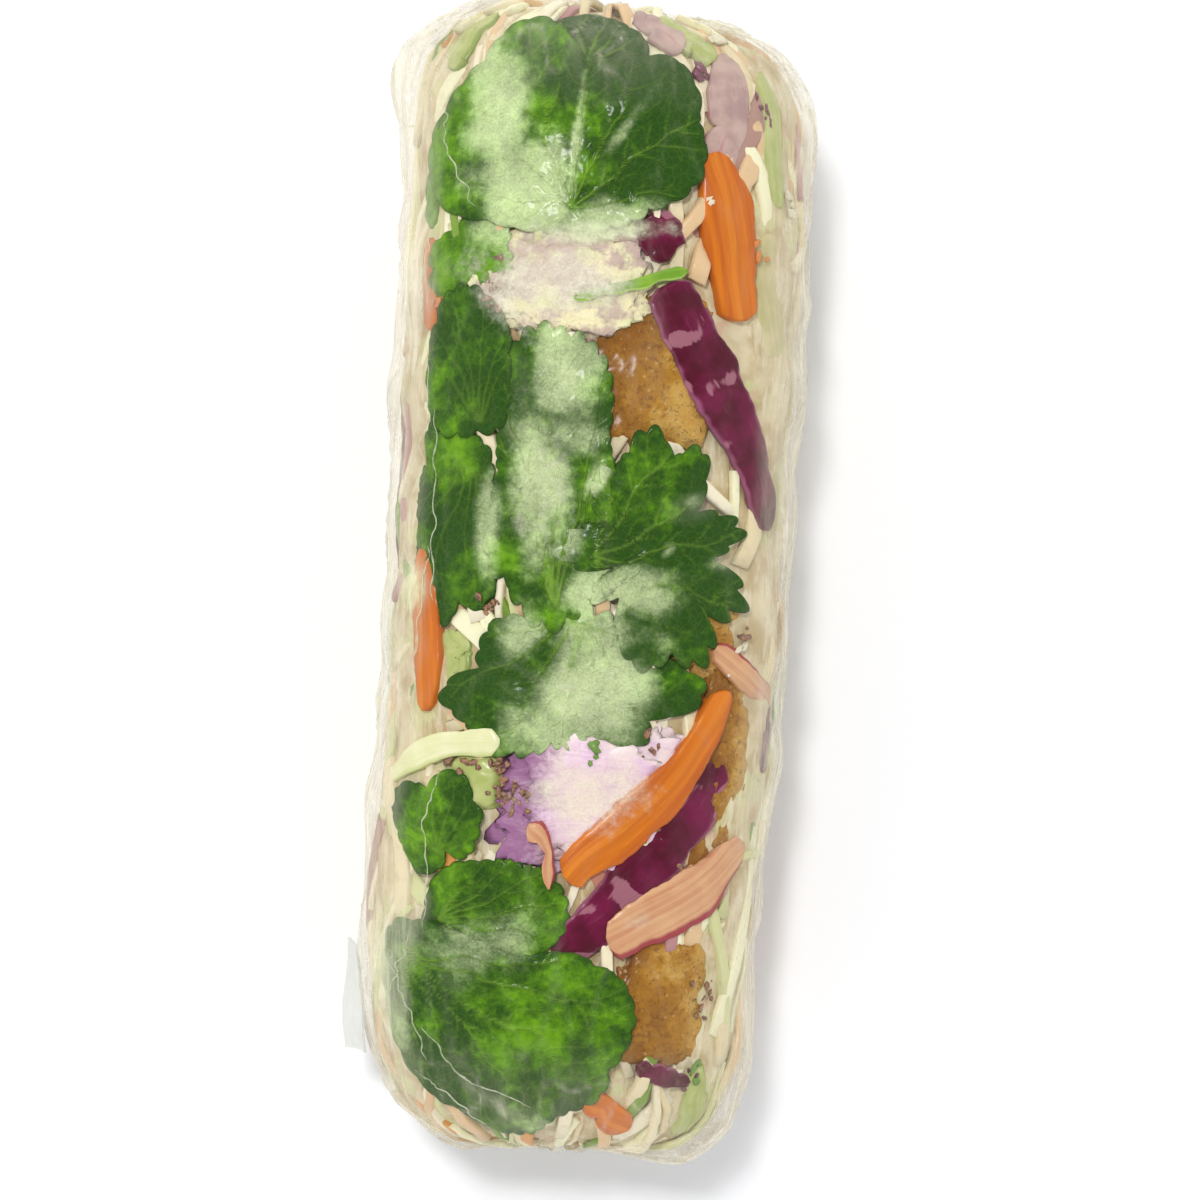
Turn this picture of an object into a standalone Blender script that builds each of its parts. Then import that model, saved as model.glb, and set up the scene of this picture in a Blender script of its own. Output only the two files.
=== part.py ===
"""Rice paper roll, uncut: a wet rice paper wrapper rolled over herbs and vegetables.

Frame: the roll lies along Y, +Z is up and the table is z = 0.  The origin is on the
table under the middle of the roll.  All sizes are metres; the tables of filling
pieces are millimetres, turned into metres by MM.

A place in the roll is given by three numbers: `turn`, the part of a full turn round
the roll from its top ridge towards +X, `y` along it, and `depth` under the outer
face of the paper.  Every piece has its own range of depths, so none touch.
"""

import math

import bmesh
import bpy
import numpy as np
from mathutils import Vector

MM = 0.001

# ---------------------------------------------------------------- driving sizes
LENGTH = 0.130
WIDTH = 0.0456
HEIGHT = 0.0360
MIDDLE_X = 0.00142          # puts the middle of the whole box, loose corner included, at x = 0
TAPER = 0.0005             # the +Y end is this much wider on each side
BELLY = 0.0020             # bulge of the filling towards -X ...
BELLY_Y = -0.041           # ... at this place along the roll ...
BELLY_REACH = 0.020        # ... dying away over this length
SECTION_POWER = 2.5        # 2 is an ellipse, more is squarer
PLAN_POWER = 6.0           # how square the ends are, seen from above
DROOP_POWER = 5.0          # how square they are, seen from the side
CENTRE_Z = 0.0168          # height of the roll's middle line
UNDER_DEPTH = 0.0180       # the curve under it, which the table cuts off flat
LUMP = 0.016               # bumps of the filling, as a part of the radius
CORE_END = 0.014           # depth directions meet on a line that stops this far from each end

PAPER = 0.0005             # thickness of the wet rice paper
LAP_START = 0.74           # the sheet starts here, under its own last turn ...
LAP = 0.06                 # ... and ends this far past a full turn, lower on the -X side
LAP_DEPTH = 0.0011         # depth of the covered start
TUCK = 0.05                # the gathered ends leave a pinched hole this part of the width
CLEAR = 0.0004             # least gap kept under a piece
END_MARGIN = 0.0006        # no piece comes nearer than this to the plane of an end
LEAST_SPREAD = 0.55        # near the ends an arc counts as this part of the girth at least
LEAF_THICKNESS = 0.4       # mm, at the midrib
STRIP_SQUARE = 0.5         # 1 gives a strip an oval section, less a squarer one
STRIP_END = 0.35           # the less, the blunter a strip's ends
CHUNK_SQUARE = 0.55        # how square a chunk is from above ...
CHUNK_FLAT = 0.45          # ... and from the side
CHUNK_WOBBLE = 0.08        # unevenness of its sides
UNDER = 100                # a route's x past this many units is thousandths of a turn instead
SMALL_LEAF = 5.0           # mm, a leaf that reaches no further has a plainer outline

TAB_TOP = -0.0425          # the loose corner of the sheet runs from here ...
TAB_BOTTOM = -0.0545       # ... to here along the roll
TAB_TURN = 0.785           # where it leaves the roll ...
TAB_REACH = 0.055          # ... and the part of a turn it covers
TAB_GAP = 0.0006
TAB_RISE = (0.0010, 0.0028)  # how far its free edge stands off at its two ends

PAPER_ROWS = 24
PAPER_COLUMNS = 32
CORE_ROWS = 22
CORE_COLUMNS = 24
CORE_DEPTH = 0.0030        # depth of the noodles where nothing lies over them


# ------------------------------------------------------------- form of the roll
def power(value, exponent):
    return np.sign(value) * np.abs(value) ** exponent


def end_scale(y, exponent):
    return (1.0 - min(abs(2.0 * y / LENGTH), 1.0) ** exponent) ** (1.0 / exponent)


def half_width(y):
    return WIDTH / 2 + TAPER * 2 * y / LENGTH


def lean(y):
    """Sideways place of the middle line; the tables' x is measured from MIDDLE_X."""
    return MIDDLE_X - BELLY * math.exp(-((y - BELLY_Y) / BELLY_REACH) ** 2)


def turn_table():
    """Angle, part of a turn and sideways reach round the middle section."""
    angle = np.linspace(0.0, 2.0 * math.pi, 721)
    x = WIDTH / 2 * power(np.sin(angle), 2.0 / SECTION_POWER)
    z = HEIGHT / 2 * power(np.cos(angle), 2.0 / SECTION_POWER)
    run = np.concatenate([[0.0], np.cumsum(np.hypot(np.diff(x), np.diff(z)))])
    return angle, run / run[-1], x / (WIDTH / 2), run[-1]


ANGLE, TURN, REACH, GIRTH = turn_table()


def row_table():
    """Rows evenly spaced over the plan outline, so that they also crowd round the ends."""
    phi = np.linspace(-math.pi / 2, math.pi / 2, 2001)
    y = LENGTH / 2 * power(np.sin(phi), 2.0 / PLAN_POWER)
    x = WIDTH / 2 * np.abs(np.cos(phi)) ** (2.0 / PLAN_POWER)
    run = np.concatenate([[0.0], np.cumsum(np.hypot(np.diff(x), np.diff(y)))])
    return y, x / (WIDTH / 2), run / run[-1]


ROW_Y, ROW_SCALE, ROW_RUN = row_table()
FIRST_ROW = float(np.interp(TUCK, ROW_SCALE[:1000], ROW_RUN[:1000]))


def row_y(run):
    return float(np.interp(run, ROW_RUN, ROW_Y))


def lump(turn, y):
    """Bumps where the filling presses on the paper; they close round the roll."""
    around = 2.0 * math.pi * turn
    return LUMP * (0.55 * math.sin(3 * around + 95 * y)
                   + 0.45 * math.sin(5 * around - 230 * y + 1.0)
                   + 0.55 * math.sin(2 * around + 420 * y + 2.0)
                   + 0.30 * math.sin(7 * around + 610 * y))


def on_roll(turn, y, depth):
    """The point at this turn, place along the roll and depth under the paper's face."""
    angle = float(np.interp(turn % 1.0, TURN, ANGLE))
    sine = power(math.sin(angle), 2.0 / SECTION_POWER)
    cosine = power(math.cos(angle), 2.0 / SECTION_POWER)
    swell = 1.0 + lump(turn, y)
    wide = half_width(y) * end_scale(y, PLAN_POWER) * swell
    tall = (HEIGHT - CENTRE_Z if cosine > 0 else UNDER_DEPTH) * end_scale(y, DROOP_POWER) * swell
    face = np.array([lean(y) + wide * sine, y, max(CENTRE_Z + tall * cosine, 0.0)])
    stop = LENGTH / 2 - CORE_END
    middle = np.array([lean(y), min(max(y, -stop), stop), CENTRE_Z])
    inward = middle - face
    return face + inward * (depth / np.linalg.norm(inward))


def turn_at(x, y):
    """Part of a turn at which the upper face lies at x, as seen from above."""
    across = (x + MIDDLE_X - lean(y)) / (half_width(y) * end_scale(y, PLAN_POWER))
    quarter = len(REACH) // 4 + 1
    side = float(np.interp(min(abs(across), 1.0), REACH[:quarter], TURN[:quarter]))
    return math.copysign(side, across)


def turn_of_arc(arc, y):
    """Part of a turn that a length of arc round the roll makes at y."""
    return arc / (GIRTH * max(end_scale(y, PLAN_POWER), LEAST_SPREAD))


# ------------------------------------------------------------ scene and material
def clear_scene():
    for item in list(bpy.data.objects):
        bpy.data.objects.remove(item, do_unlink=True)


def collection(name):
    group = bpy.data.collections.new(name)
    bpy.context.scene.collection.children.link(group)
    return group


def finish(name, colour, roughness):
    material = bpy.data.materials.new(name)
    material.use_nodes = True
    shader = material.node_tree.nodes["Principled BSDF"]
    shader.inputs["Base Color"].default_value = (*colour, 1.0)
    shader.inputs["Roughness"].default_value = roughness
    shader.inputs["Metallic"].default_value = 0.0
    return material


def add_object(name, bm, material, group):
    """Turn the faces outwards, away from the middle of a sheet's roll, and make the object."""
    bmesh.ops.recalc_face_normals(bm, faces=bm.faces)
    if any(edge.is_boundary for edge in bm.edges):
        middle = Vector((0.0, 0.0, CENTRE_Z))
        outwards = sum((face.calc_center_median() - middle).dot(face.normal) for face in bm.faces)
    else:
        outwards = bm.calc_volume(signed=True)
    if outwards < 0.0:
        bmesh.ops.reverse_faces(bm, faces=bm.faces)
    mesh = bpy.data.meshes.new(name)
    bm.to_mesh(mesh)
    bm.free()
    mesh.shade_smooth()
    mesh.materials.append(material)
    item = bpy.data.objects.new(name, mesh)
    group.objects.link(item)
    return item


# ------------------------------------------------------------------ filling forms
used_depth = []            # (turn, y, depth) of every filling point, for the core


def drawn_ball(name, columns, rows, place, material, group):
    """A ball whose points are drawn out to `place(round, down)`, in the roll's terms.

    `round` is the angle round the ball and `down` the angle from its first pole.
    """
    bm = bmesh.new()
    bmesh.ops.create_uvsphere(bm, u_segments=columns, v_segments=rows, radius=1.0)
    spots = {}
    for vert in bm.verts:
        down = math.acos(max(-1.0, min(1.0, vert.co.z)))
        spots[vert] = place(math.atan2(vert.co.y, vert.co.x), down)
    for face in bm.faces:
        corners = np.array([spots[vert] for vert in face.verts])
        used_depth.extend([*corners, corners.mean(axis=0), *((corners + np.roll(corners, 1, 0)) / 2)])
    for vert, spot in spots.items():
        vert.co = on_roll(*spot)
    return add_object(name, bm, material, group)


def curve(before, start, end, after, t):
    """A smooth curve from start to end as t goes from 0 to 1, heading past its neighbours."""
    return 0.5 * (2 * start + (end - before) * t
                  + (2 * before - 5 * start + 4 * end - after) * t * t
                  + (3 * start - before - 3 * end + after) * t ** 3)


def leaf_reach(angle, reaches):
    """How far a leaf reaches from its middle, between reaches at even angles from +X round."""
    here = angle / (2.0 * math.pi) % 1.0 * len(reaches)
    step = int(here)
    return curve(*(reaches[(step + k) % len(reaches)] for k in (-1, 0, 1, 2)), here - step)


def inside_ends(y):
    return max(-LENGTH / 2 + END_MARGIN, min(LENGTH / 2 - END_MARGIN, y))


def leaf(name, centre, depth, reaches, material, group):
    """A thin broad blade lying round the roll, thickest in its middle."""
    start = turn_at(centre[0] * MM, centre[1] * MM) if len(centre) == 2 else centre[2]

    def place(angle, down):
        out = math.sin(down) * leaf_reach(angle, reaches) * MM
        y = inside_ends(centre[1] * MM + out * math.sin(angle))
        turn = start + turn_of_arc(out * math.cos(angle), y)
        return turn, y, (depth - LEAF_THICKNESS / 2 * math.cos(down)) * MM

    return drawn_ball(name, 20 if max(reaches) > SMALL_LEAF else 12, 5, place, material, group)


def route_point(route, part):
    """Point and direction on a route of (x or turn, y) points, by a smooth curve."""
    count = len(route) - 1
    here = min(int(part * count), count - 1)
    t = part * count - here
    ends = [route[max(here - 1, 0)], route[here], route[here + 1], route[min(here + 2, count)]]
    a, b, c, d = (np.array(point, dtype=float) for point in ends)
    along = 0.5 * ((c - a) + 2 * (2 * a - 5 * b + 4 * c - d) * t
                   + 3 * (3 * b - a - 3 * c + d) * t * t)
    return curve(a, b, c, d, t), along


def strip(name, route, widths, depths, material, group):
    """A julienne strip along a route in mm; widths go from end to end, depths are (top, bottom).

    A route point is (x seen from above, y), or (turn * 1000, y) for a strip under the roll.
    """
    route_turns = []
    for across, y in route:
        turn = across / 1000 if abs(across) > UNDER else turn_at(across * MM, y * MM)
        route_turns.append((turn * GIRTH / MM, y))

    def place(angle, down):
        part = (1.0 - math.cos(down)) / 2.0
        point, along = route_point(route_turns, part)
        across = np.array([along[1], -along[0]]) / max(np.hypot(*along), 1e-6)
        taper = math.sin(down) ** STRIP_END
        width = float(np.interp(part, np.linspace(0, 1, len(widths)), widths)) * taper
        spread = width / 2 * power(math.cos(angle), STRIP_SQUARE)
        thick = (depths[1] - depths[0]) / 2 * (0.6 + 0.4 * taper) * taper
        depth = (depths[0] + depths[1]) / 2 - thick * power(math.sin(angle), STRIP_SQUARE)
        arc, y = point + across * spread
        return arc * MM / GIRTH, inside_ends(y * MM), depth * MM

    return drawn_ball(name, 8, 1 + 2 * len(route), place, material, group)


def chunk(name, centre, size, depths, turned, material, group):
    """A hand-torn block: centre and size (across, along) in mm, turned by degrees."""
    start = turn_at(centre[0] * MM, centre[1] * MM) * GIRTH / MM
    cosine, sine = math.cos(math.radians(turned)), math.sin(math.radians(turned))

    def place(angle, down):
        ring = power(math.sin(down), CHUNK_FLAT)
        u = size[0] / 2 * ring * power(math.cos(angle), CHUNK_SQUARE)
        v = size[1] / 2 * ring * power(math.sin(angle), CHUNK_SQUARE)
        u *= 1.0 + CHUNK_WOBBLE * math.sin(3 * angle + down)
        v *= 1.0 + CHUNK_WOBBLE * math.cos(2 * angle - down)
        middle = (depths[0] + depths[1]) / 2
        depth = middle - (depths[1] - depths[0]) / 2 * power(math.cos(down), CHUNK_FLAT)
        arc = start + u * cosine - v * sine
        y = centre[1] + u * sine + v * cosine
        return arc * MM / GIRTH, y * MM, depth * MM

    return drawn_ball(name, 10, 6, place, material, group)


# --------------------------------------------------------------------- the pieces
HERBS = {
    # name: (x, y) or (x, y, turn), depth, reach at every 30 degrees from +X towards +Y
    "leaf_top": ((-3.9, 49.5), 1.3, (16, 15.5, 10, 9.5, 16, 16.5, 19, 19, 14.5, 12.5, 13.5, 15)),
    "leaf_behind": ((-2.2, 58.6), 2.1, (6, 5, 4.5, 4.5, 5, 6, 6, 5, 4, 4, 5, 6)),
    "leaf_small_left": ((-20.0, 41.4), 2.1, (2.2, 2.6, 3.2, 3.6, 3.2, 2.6, 2.2, 2.6, 3.2, 3.6, 3.2, 2.6)),
    "leaf_left_shoulder": ((-15.1, 33.8), 2.1, (4.5, 5, 5, 4.5, 4.5, 5, 6, 6, 5, 4.5, 5, 4.5)),
    "leaf_second_left": ((-14.7, 23.2), 1.3, (4.8, 5, 6, 7.2, 7, 6.5, 6, 7, 8.5, 8, 8, 5.5)),
    "leaf_second_low": ((-15.9, 5.6), 2.1, (5, 5.5, 7.5, 9.5, 9, 6.5, 6, 6.5, 8.5, 10, 9, 6)),
    "leaf_second_middle": ((-5.0, 14.2), 2.1, (7, 7.5, 10.5, 12.5, 11, 6, 4.5, 5, 9, 16, 12, 7.5)),
    "leaf_third": ((7.8, 2.8), 1.3, (11, 10.5, 11.5, 12.5, 11.5, 8.5, 10.5, 8, 9, 12.5, 13, 12.5)),
    "leaf_fourth": ((-2.3, -12.6), 2.1, (13, 9, 8, 7.5, 7.5, 9, 12, 11.5, 8.5, 6.5, 7, 10)),
    "leaf_lower_left": ((-16.4, -27.6), 1.3, (5, 5.5, 5.5, 5, 6, 7, 6, 5.5, 5.5, 5, 5, 5)),
    "leaf_lower_middle": ((-8.4, -37.1), 2.1, (8.5, 7.5, 6.5, 6, 6.5, 9, 10, 9.5, 8, 7.5, 7, 7)),
    "leaf_bottom": ((-7.5, -49.5), 1.3, (15.5, 14.5, 10.5, 8.5, 12.5, 20.5, 17, 15, 13, 14, 12, 14.5)),
    "leaf_under_first": ((0.0, 30.0, 0.47), 2.3, (11, 12, 12, 13, 12, 11, 10, 9.5, 9, 9, 10, 10)),
    "leaf_under_second": ((0.0, -28.0, 0.53), 2.3, (12, 11, 12, 12, 11, 10, 10, 10.5, 11, 12, 13, 12)),
}

STRIPS = {
    # name: slot, route, widths, (top depth, bottom depth)
    "carrot_right": ("carrot", [(12.2, 46.8), (14.6, 38.9), (16.3, 28.6)], [3.6, 5.4, 4.6], (2.5, 4.0)),
    "carrot_upper_left": (
        "carrot", [(-20.2, 36.6), (-19.9, 31.7), (-20.0, 26.4)], [3.0, 4.6, 3.0], (2.5, 4.0)),
    "carrot_middle_left": (
        "carrot", [(-19.4, 2.2), (-19.2, -3.5), (-18.6, -9.1), (-18.2, -15.6)],
        [2.6, 4.6, 4.0, 3.0], (2.5, 4.0)),
    "carrot_curved": (
        "carrot", [(15.8, -11.6), (12.4, -19.6), (6.8, -26.4), (-1.4, -32.6)],
        [1.2, 4.0, 5.4, 4.4], (2.5, 4.0)),
    "carrot_bottom": (
        "carrot", [(0.2, -56.8), (4.3, -59.4), (7.8, -61.4)], [3.4, 4.8, 4.0], (2.5, 4.0)),
    "cabbage_long": (
        "red_cabbage", [(7.4, 32.0), (11.0, 25.2), (15.6, 18.6), (18.4, 12.8), (20.5, 6.0)],
        [4.4, 4.8, 4.6, 4.2, 3.0], (2.5, 3.4)),
    "cabbage_top": (
        "red_cabbage", [(5.0, 39.4), (6.6, 37.0), (7.6, 34.9)], [4.0, 4.6, 3.6], (2.5, 3.4)),
    "cabbage_curved": (
        "red_cabbage", [(15.6, -19.8), (13.8, -26.2), (8.8, -31.0), (3.4, -37.2), (-1.9, -41.4)],
        [3.2, 4.6, 4.8, 5.0, 2.6], (4.3, 5.2)),
    "cabbage_small": (
        "red_cabbage", [(8.2, -53.8), (11.4, -54.4), (14.4, -55.5)], [2.4, 3.0, 1.6], (2.5, 3.3)),
    "cabbage_side": (
        "red_cabbage", [(21.9, -13.8), (21.6, -17.0), (20.9, -21.0)], [3.0, 4.4, 3.0], (2.5, 3.3)),
    "onion_slice": (
        "onion", [(4.2, -39.6), (9.8, -36.9), (15.0, -33.8), (19.2, -28.8)],
        [4.6, 5.6, 5.6, 3.2], (2.5, 4.0)),
    "onion_middle": (
        "onion", [(14.6, -7.2), (18.4, -10.1), (21.8, -13.2)], [2.6, 3.4, 2.4], (2.5, 3.6)),
    "onion_top": ("onion", [(2.4, 63.2), (5.6, 61.2), (8.2, 58.8)], [2.6, 3.6, 2.8], (4.4, 5.4)),
    "onion_corner": ("onion", [(13.0, 58.6), (14.0, 52.2), (12.8, 45.2)], [3.0, 4.4, 3.6], (4.4, 5.4)),
    "onion_curl": (
        "onion", [(-6.0, -28.4), (-4.2, -27.6), (-3.3, -30.4), (-2.9, -34.2)],
        [1.0, 1.4, 1.4, 1.0], (1.0, 1.6)),
    "celery_top": ("cucumber", [(5.6, 62.8), (8.8, 60.8), (12.2, 58.0)], [3.4, 4.4, 3.6], (2.5, 4.0)),
    "celery_upper_right": (
        "cucumber", [(17.8, 57.2), (19.4, 49.6), (20.2, 41.6)], [3.4, 4.4, 4.0], (2.5, 4.2)),
    "celery_upper_left": (
        "cucumber", [(-13.8, 63.0), (-17.2, 59.2), (-18.4, 55.8)], [3.0, 4.4, 3.4], (2.5, 4.2)),
    "cucumber_right": (
        "cucumber", [(18.9, 38.6), (21.6, 24.0), (22.0, 10.0), (21.4, -1.0)],
        [5.0, 8.0, 8.0, 5.0], (4.6, 8.0)),
    "celery_bottom": (
        "cucumber", [(15.0, -54.2), (15.6, -58.4), (14.0, -62.6)], [4.0, 5.2, 4.4], (3.7, 6.0)),
    "celery_left": (
        "cucumber", [(-16.6, -6.6), (-16.4, -10.2), (-15.8, -14.2)], [5.0, 6.6, 5.0], (4.4, 7.4)),
    "onion_pale_arc": (
        "white_cabbage", [(-9.2, -19.0), (-14.8, -18.9), (-19.0, -20.8), (-22.4, -23.9)],
        [2.2, 2.8, 2.8, 2.2], (2.5, 3.4)),
    "cabbage_pale_band": (
        "white_cabbage", [(-12.6, 30.6), (-5.0, 31.8), (2.8, 33.2)], [7.6, 9.4, 6.4], (2.5, 3.3)),
    "herb_stem": ("herb", [(-3.0, 30.0), (3.0, 31.4), (9.4, 33.6)], [0.9, 1.1, 1.2], (1.0, 1.7)),
    "carrot_under": ("carrot", [(430, 6.0), (455, -4.0), (500, -14.0)], [4.0, 5.0, 4.0], (2.9, 4.5)),
    "cabbage_under": (
        "red_cabbage", [(560, 20.0), (545, 8.0), (560, -6.0)], [3.6, 4.6, 3.6], (2.9, 3.8)),
    "carrot_right_side": (
        "carrot", [(330, -24.0), (318, -34.0), (326, -46.0)], [3.4, 4.6, 3.4], (2.5, 4.0)),
    "cabbage_left_side": (
        "red_cabbage", [(-258, 22.0), (-250, 12.0), (-262, 0.0)], [3.2, 4.4, 3.2], (2.5, 3.4)),
}

CHUNKS = {
    # name: slot, centre, size, (top depth, bottom depth), turned
    "tofu_upper": ("tofu", (6.2, 22.6), (13.0, 15.0), (3.8, 8.6), 12),
    "tofu_middle": ("tofu", (12.6, -4.6), (11.0, 11.0), (4.0, 8.4), -8),
    "tofu_right": ("tofu", (17.0, -20.6), (6.4, 15.0), (5.6, 9.6), 6),
    "tofu_lower": ("tofu", (11.2, -46.2), (11.5, 12.5), (4.4, 9.0), -5),
    "cucumber_left": ("cucumber", (-12.4, -23.0), (6.4, 6.0), (3.8, 7.0), 0),
    "cabbage_pale_folded": ("lilac_cabbage", (1.2, -23.6), (15.0, 8.6), (5.6, 6.6), 22),
}


def filling_core(material, group):
    """The shredded heart of the roll, drawn in wherever a piece lies over it."""
    need = np.full((CORE_COLUMNS, CORE_ROWS), CORE_DEPTH)
    for turn, y, depth in used_depth:
        run = float(np.interp(y, ROW_Y, ROW_RUN))
        column = int((turn % 1.0) * CORE_COLUMNS) % CORE_COLUMNS
        row = min(int(run * CORE_ROWS), CORE_ROWS - 1)
        need[column, row] = max(need[column, row], depth + 2.0 * CLEAR)

    bm = bmesh.new()
    bmesh.ops.create_uvsphere(bm, u_segments=CORE_COLUMNS, v_segments=CORE_ROWS, radius=1.0)
    for vert in bm.verts:
        step = round(math.acos(max(-1.0, min(1.0, vert.co.z))) / math.pi * CORE_ROWS)
        column = round(math.atan2(vert.co.y, vert.co.x) / (2.0 * math.pi) * CORE_COLUMNS)
        rows = [row for row in (step - 1, step) if 0 <= row < CORE_ROWS]
        columns = [(column - 1) % CORE_COLUMNS, column % CORE_COLUMNS]
        if step in (0, CORE_ROWS):
            columns = range(CORE_COLUMNS)
        depth = max(need[c, r] for c in columns for r in rows)
        vert.co = on_roll(column / CORE_COLUMNS, row_y(step / CORE_ROWS), depth)
    return add_object("shredded_filling", bm, material, group)


def rice_paper(material, group):
    """The sheet, rolled a little over one turn, its start covered by its end."""
    bm = bmesh.new()
    bmesh.ops.create_grid(bm, x_segments=PAPER_COLUMNS, y_segments=PAPER_ROWS, size=0.5)
    for vert in bm.verts:
        wound = (vert.co.x + 0.5) * (1.0 + LAP)
        rise = min(max((wound - LAP) / LAP, 0.0), 1.0)
        depth = LAP_DEPTH * (1.0 - rise * rise * (3.0 - 2.0 * rise))
        run = FIRST_ROW + (vert.co.y + 0.5) * (1.0 - 2.0 * FIRST_ROW)
        vert.co = on_roll(LAP_START - wound, row_y(run), depth)
    item = add_object("rice_paper", bm, material, group)
    wall = item.modifiers.new("wall", 'SOLIDIFY')
    wall.thickness = PAPER
    wall.offset = -1.0
    return item


def paper_tab(material, group):
    """Loose corner of the sheet on the -X side, standing further out towards its lower end."""
    bm = bmesh.new()
    bmesh.ops.create_grid(bm, x_segments=4, y_segments=5, size=0.5)
    for vert in bm.verts:
        out, down = vert.co.x + 0.5, vert.co.y + 0.5
        y = TAB_TOP + (TAB_BOTTOM - TAB_TOP) * down
        proud = TAB_GAP + (TAB_RISE[0] + (TAB_RISE[1] - TAB_RISE[0]) * down) * out * out
        vert.co = on_roll(TAB_TURN - TAB_REACH * out, y, -proud)
    item = add_object("paper_tab", bm, material, group)
    wall = item.modifiers.new("wall", 'SOLIDIFY')
    wall.thickness = 0.6 * PAPER
    wall.offset = 1.0
    return item


def build():
    clear_scene()
    roll = collection("rice_paper_roll")
    slots = {
        "rice_paper": finish("rice_paper", (0.80, 0.78, 0.66), 0.28),
        "herb": finish("herb", (0.08, 0.20, 0.01), 0.45),
        "carrot": finish("carrot", (0.72, 0.22, 0.02), 0.40),
        "red_cabbage": finish("red_cabbage", (0.11, 0.01, 0.04), 0.35),
        "lilac_cabbage": finish("lilac_cabbage", (0.62, 0.40, 0.54), 0.40),
        "white_cabbage": finish("white_cabbage", (0.80, 0.76, 0.48), 0.40),
        "onion": finish("onion", (0.62, 0.30, 0.16), 0.35),
        "tofu": finish("tofu", (0.48, 0.22, 0.04), 0.60),
        "cucumber": finish("cucumber", (0.50, 0.54, 0.16), 0.35),
        "noodle": finish("noodle", (0.72, 0.64, 0.44), 0.45),
    }
    rice_paper(slots["rice_paper"], roll)
    paper_tab(slots["rice_paper"], roll)
    for name, (centre, depth, reaches) in HERBS.items():
        leaf(name, centre, depth, reaches, slots["herb"], roll)
    for name, (slot, route, widths, depths) in STRIPS.items():
        strip(name, route, widths, depths, slots[slot], roll)
    for name, (slot, centre, size, depths, turned) in CHUNKS.items():
        chunk(name, centre, size, depths, turned, slots[slot], roll)
    filling_core(slots["noodle"], roll)


build()
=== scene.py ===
# %% [markdown]
# # An uncut rice paper roll
#
# A summer roll is a wet, see-through sheet of rice paper wound tightly over herbs and
# cut vegetables. Two things make it look right: the pieces just under the paper, each
# with its own texture, and the paper itself, which is clear where it clings to a piece
# and milky where it lifts, folds or lies double.
#
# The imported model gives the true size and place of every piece. This lesson keeps
# those places and gives each piece its real surface, from the inside outwards.

import math
import random

import bmesh
import bpy
import numpy as np
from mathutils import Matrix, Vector, noise
from mathutils.bvhtree import BVHTree


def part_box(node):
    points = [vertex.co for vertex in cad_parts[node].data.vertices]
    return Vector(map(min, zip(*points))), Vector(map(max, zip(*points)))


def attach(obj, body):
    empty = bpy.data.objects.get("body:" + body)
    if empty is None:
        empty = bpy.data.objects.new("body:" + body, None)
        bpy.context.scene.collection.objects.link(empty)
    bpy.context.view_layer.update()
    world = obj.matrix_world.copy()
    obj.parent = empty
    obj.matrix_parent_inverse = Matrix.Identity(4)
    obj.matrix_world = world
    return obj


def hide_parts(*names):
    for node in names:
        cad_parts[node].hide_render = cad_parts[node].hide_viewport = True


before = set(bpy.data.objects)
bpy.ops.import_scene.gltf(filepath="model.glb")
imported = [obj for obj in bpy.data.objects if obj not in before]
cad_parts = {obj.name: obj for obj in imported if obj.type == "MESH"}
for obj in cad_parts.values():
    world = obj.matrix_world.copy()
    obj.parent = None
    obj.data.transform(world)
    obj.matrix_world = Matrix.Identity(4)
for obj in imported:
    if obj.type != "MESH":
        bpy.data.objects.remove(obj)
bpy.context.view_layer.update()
MM = 0.001
print("pieces in the packed model:", len(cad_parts))

# %% [markdown]
# ## Where things lie on a roll
#
# Everything hugs the roll, so plain x, y and z are clumsy. A better set of numbers is
# `around`, the distance round the roll from its top ridge, `along`, the distance
# along it and on over the rounded ends, and `depth` under the paper. Both distances
# are measured from a line inside the roll, like the string in a candle: along the
# middle the rays leave it sideways, and at the ends they fan out.

# %% The line inside the roll
paper_low, paper_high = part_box("rice_paper")
LENGTH = paper_high.y - paper_low.y
WIDTH = paper_high.x - paper_low.x
HEIGHT = paper_high.z
MIDDLE_X = (paper_low.x + paper_high.x) / 2
MIDDLE_Z = 0.46 * HEIGHT
STOP = LENGTH / 2 - 0.30 * WIDTH
ROUND = (WIDTH + HEIGHT) / 4
TURN = 2.0 * math.pi * ROUND
CAP = 0.34 * WIDTH
LONGEST = STOP + CAP * math.pi / 2
print(f"roll {LENGTH / MM:.0f} x {WIDTH / MM:.0f} x {HEIGHT / MM:.0f} mm")


def rays(around, along):
    """Start and direction of the ray for each place on the roll."""
    phi = around / ROUND
    tilt = np.maximum(np.abs(along) - STOP, 0.0) / CAP
    start = np.stack([np.full_like(along, MIDDLE_X), np.clip(along, -STOP, STOP),
                      np.full_like(along, MIDDLE_Z)], -1)
    way = np.stack([np.cos(tilt) * np.sin(phi), np.sign(along) * np.sin(tilt),
                    np.cos(tilt) * np.cos(phi)], -1)
    return start, way


def find(points):
    """The reverse: around, along and distance from the line for points in space."""
    start = np.stack([np.full(len(points), MIDDLE_X), np.clip(points[:, 1], -STOP, STOP),
                      np.full(len(points), MIDDLE_Z)], -1)
    out = points - start
    reach = np.linalg.norm(out, axis=1)
    tilt = np.arcsin(np.clip(np.abs(out[:, 1]) / np.maximum(reach, 1e-9), 0.0, 1.0))
    along = np.where(tilt > 1e-6, np.sign(out[:, 1]) * (STOP + CAP * tilt), points[:, 1])
    return np.arctan2(out[:, 0], out[:, 2]) * ROUND, along, reach


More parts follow.
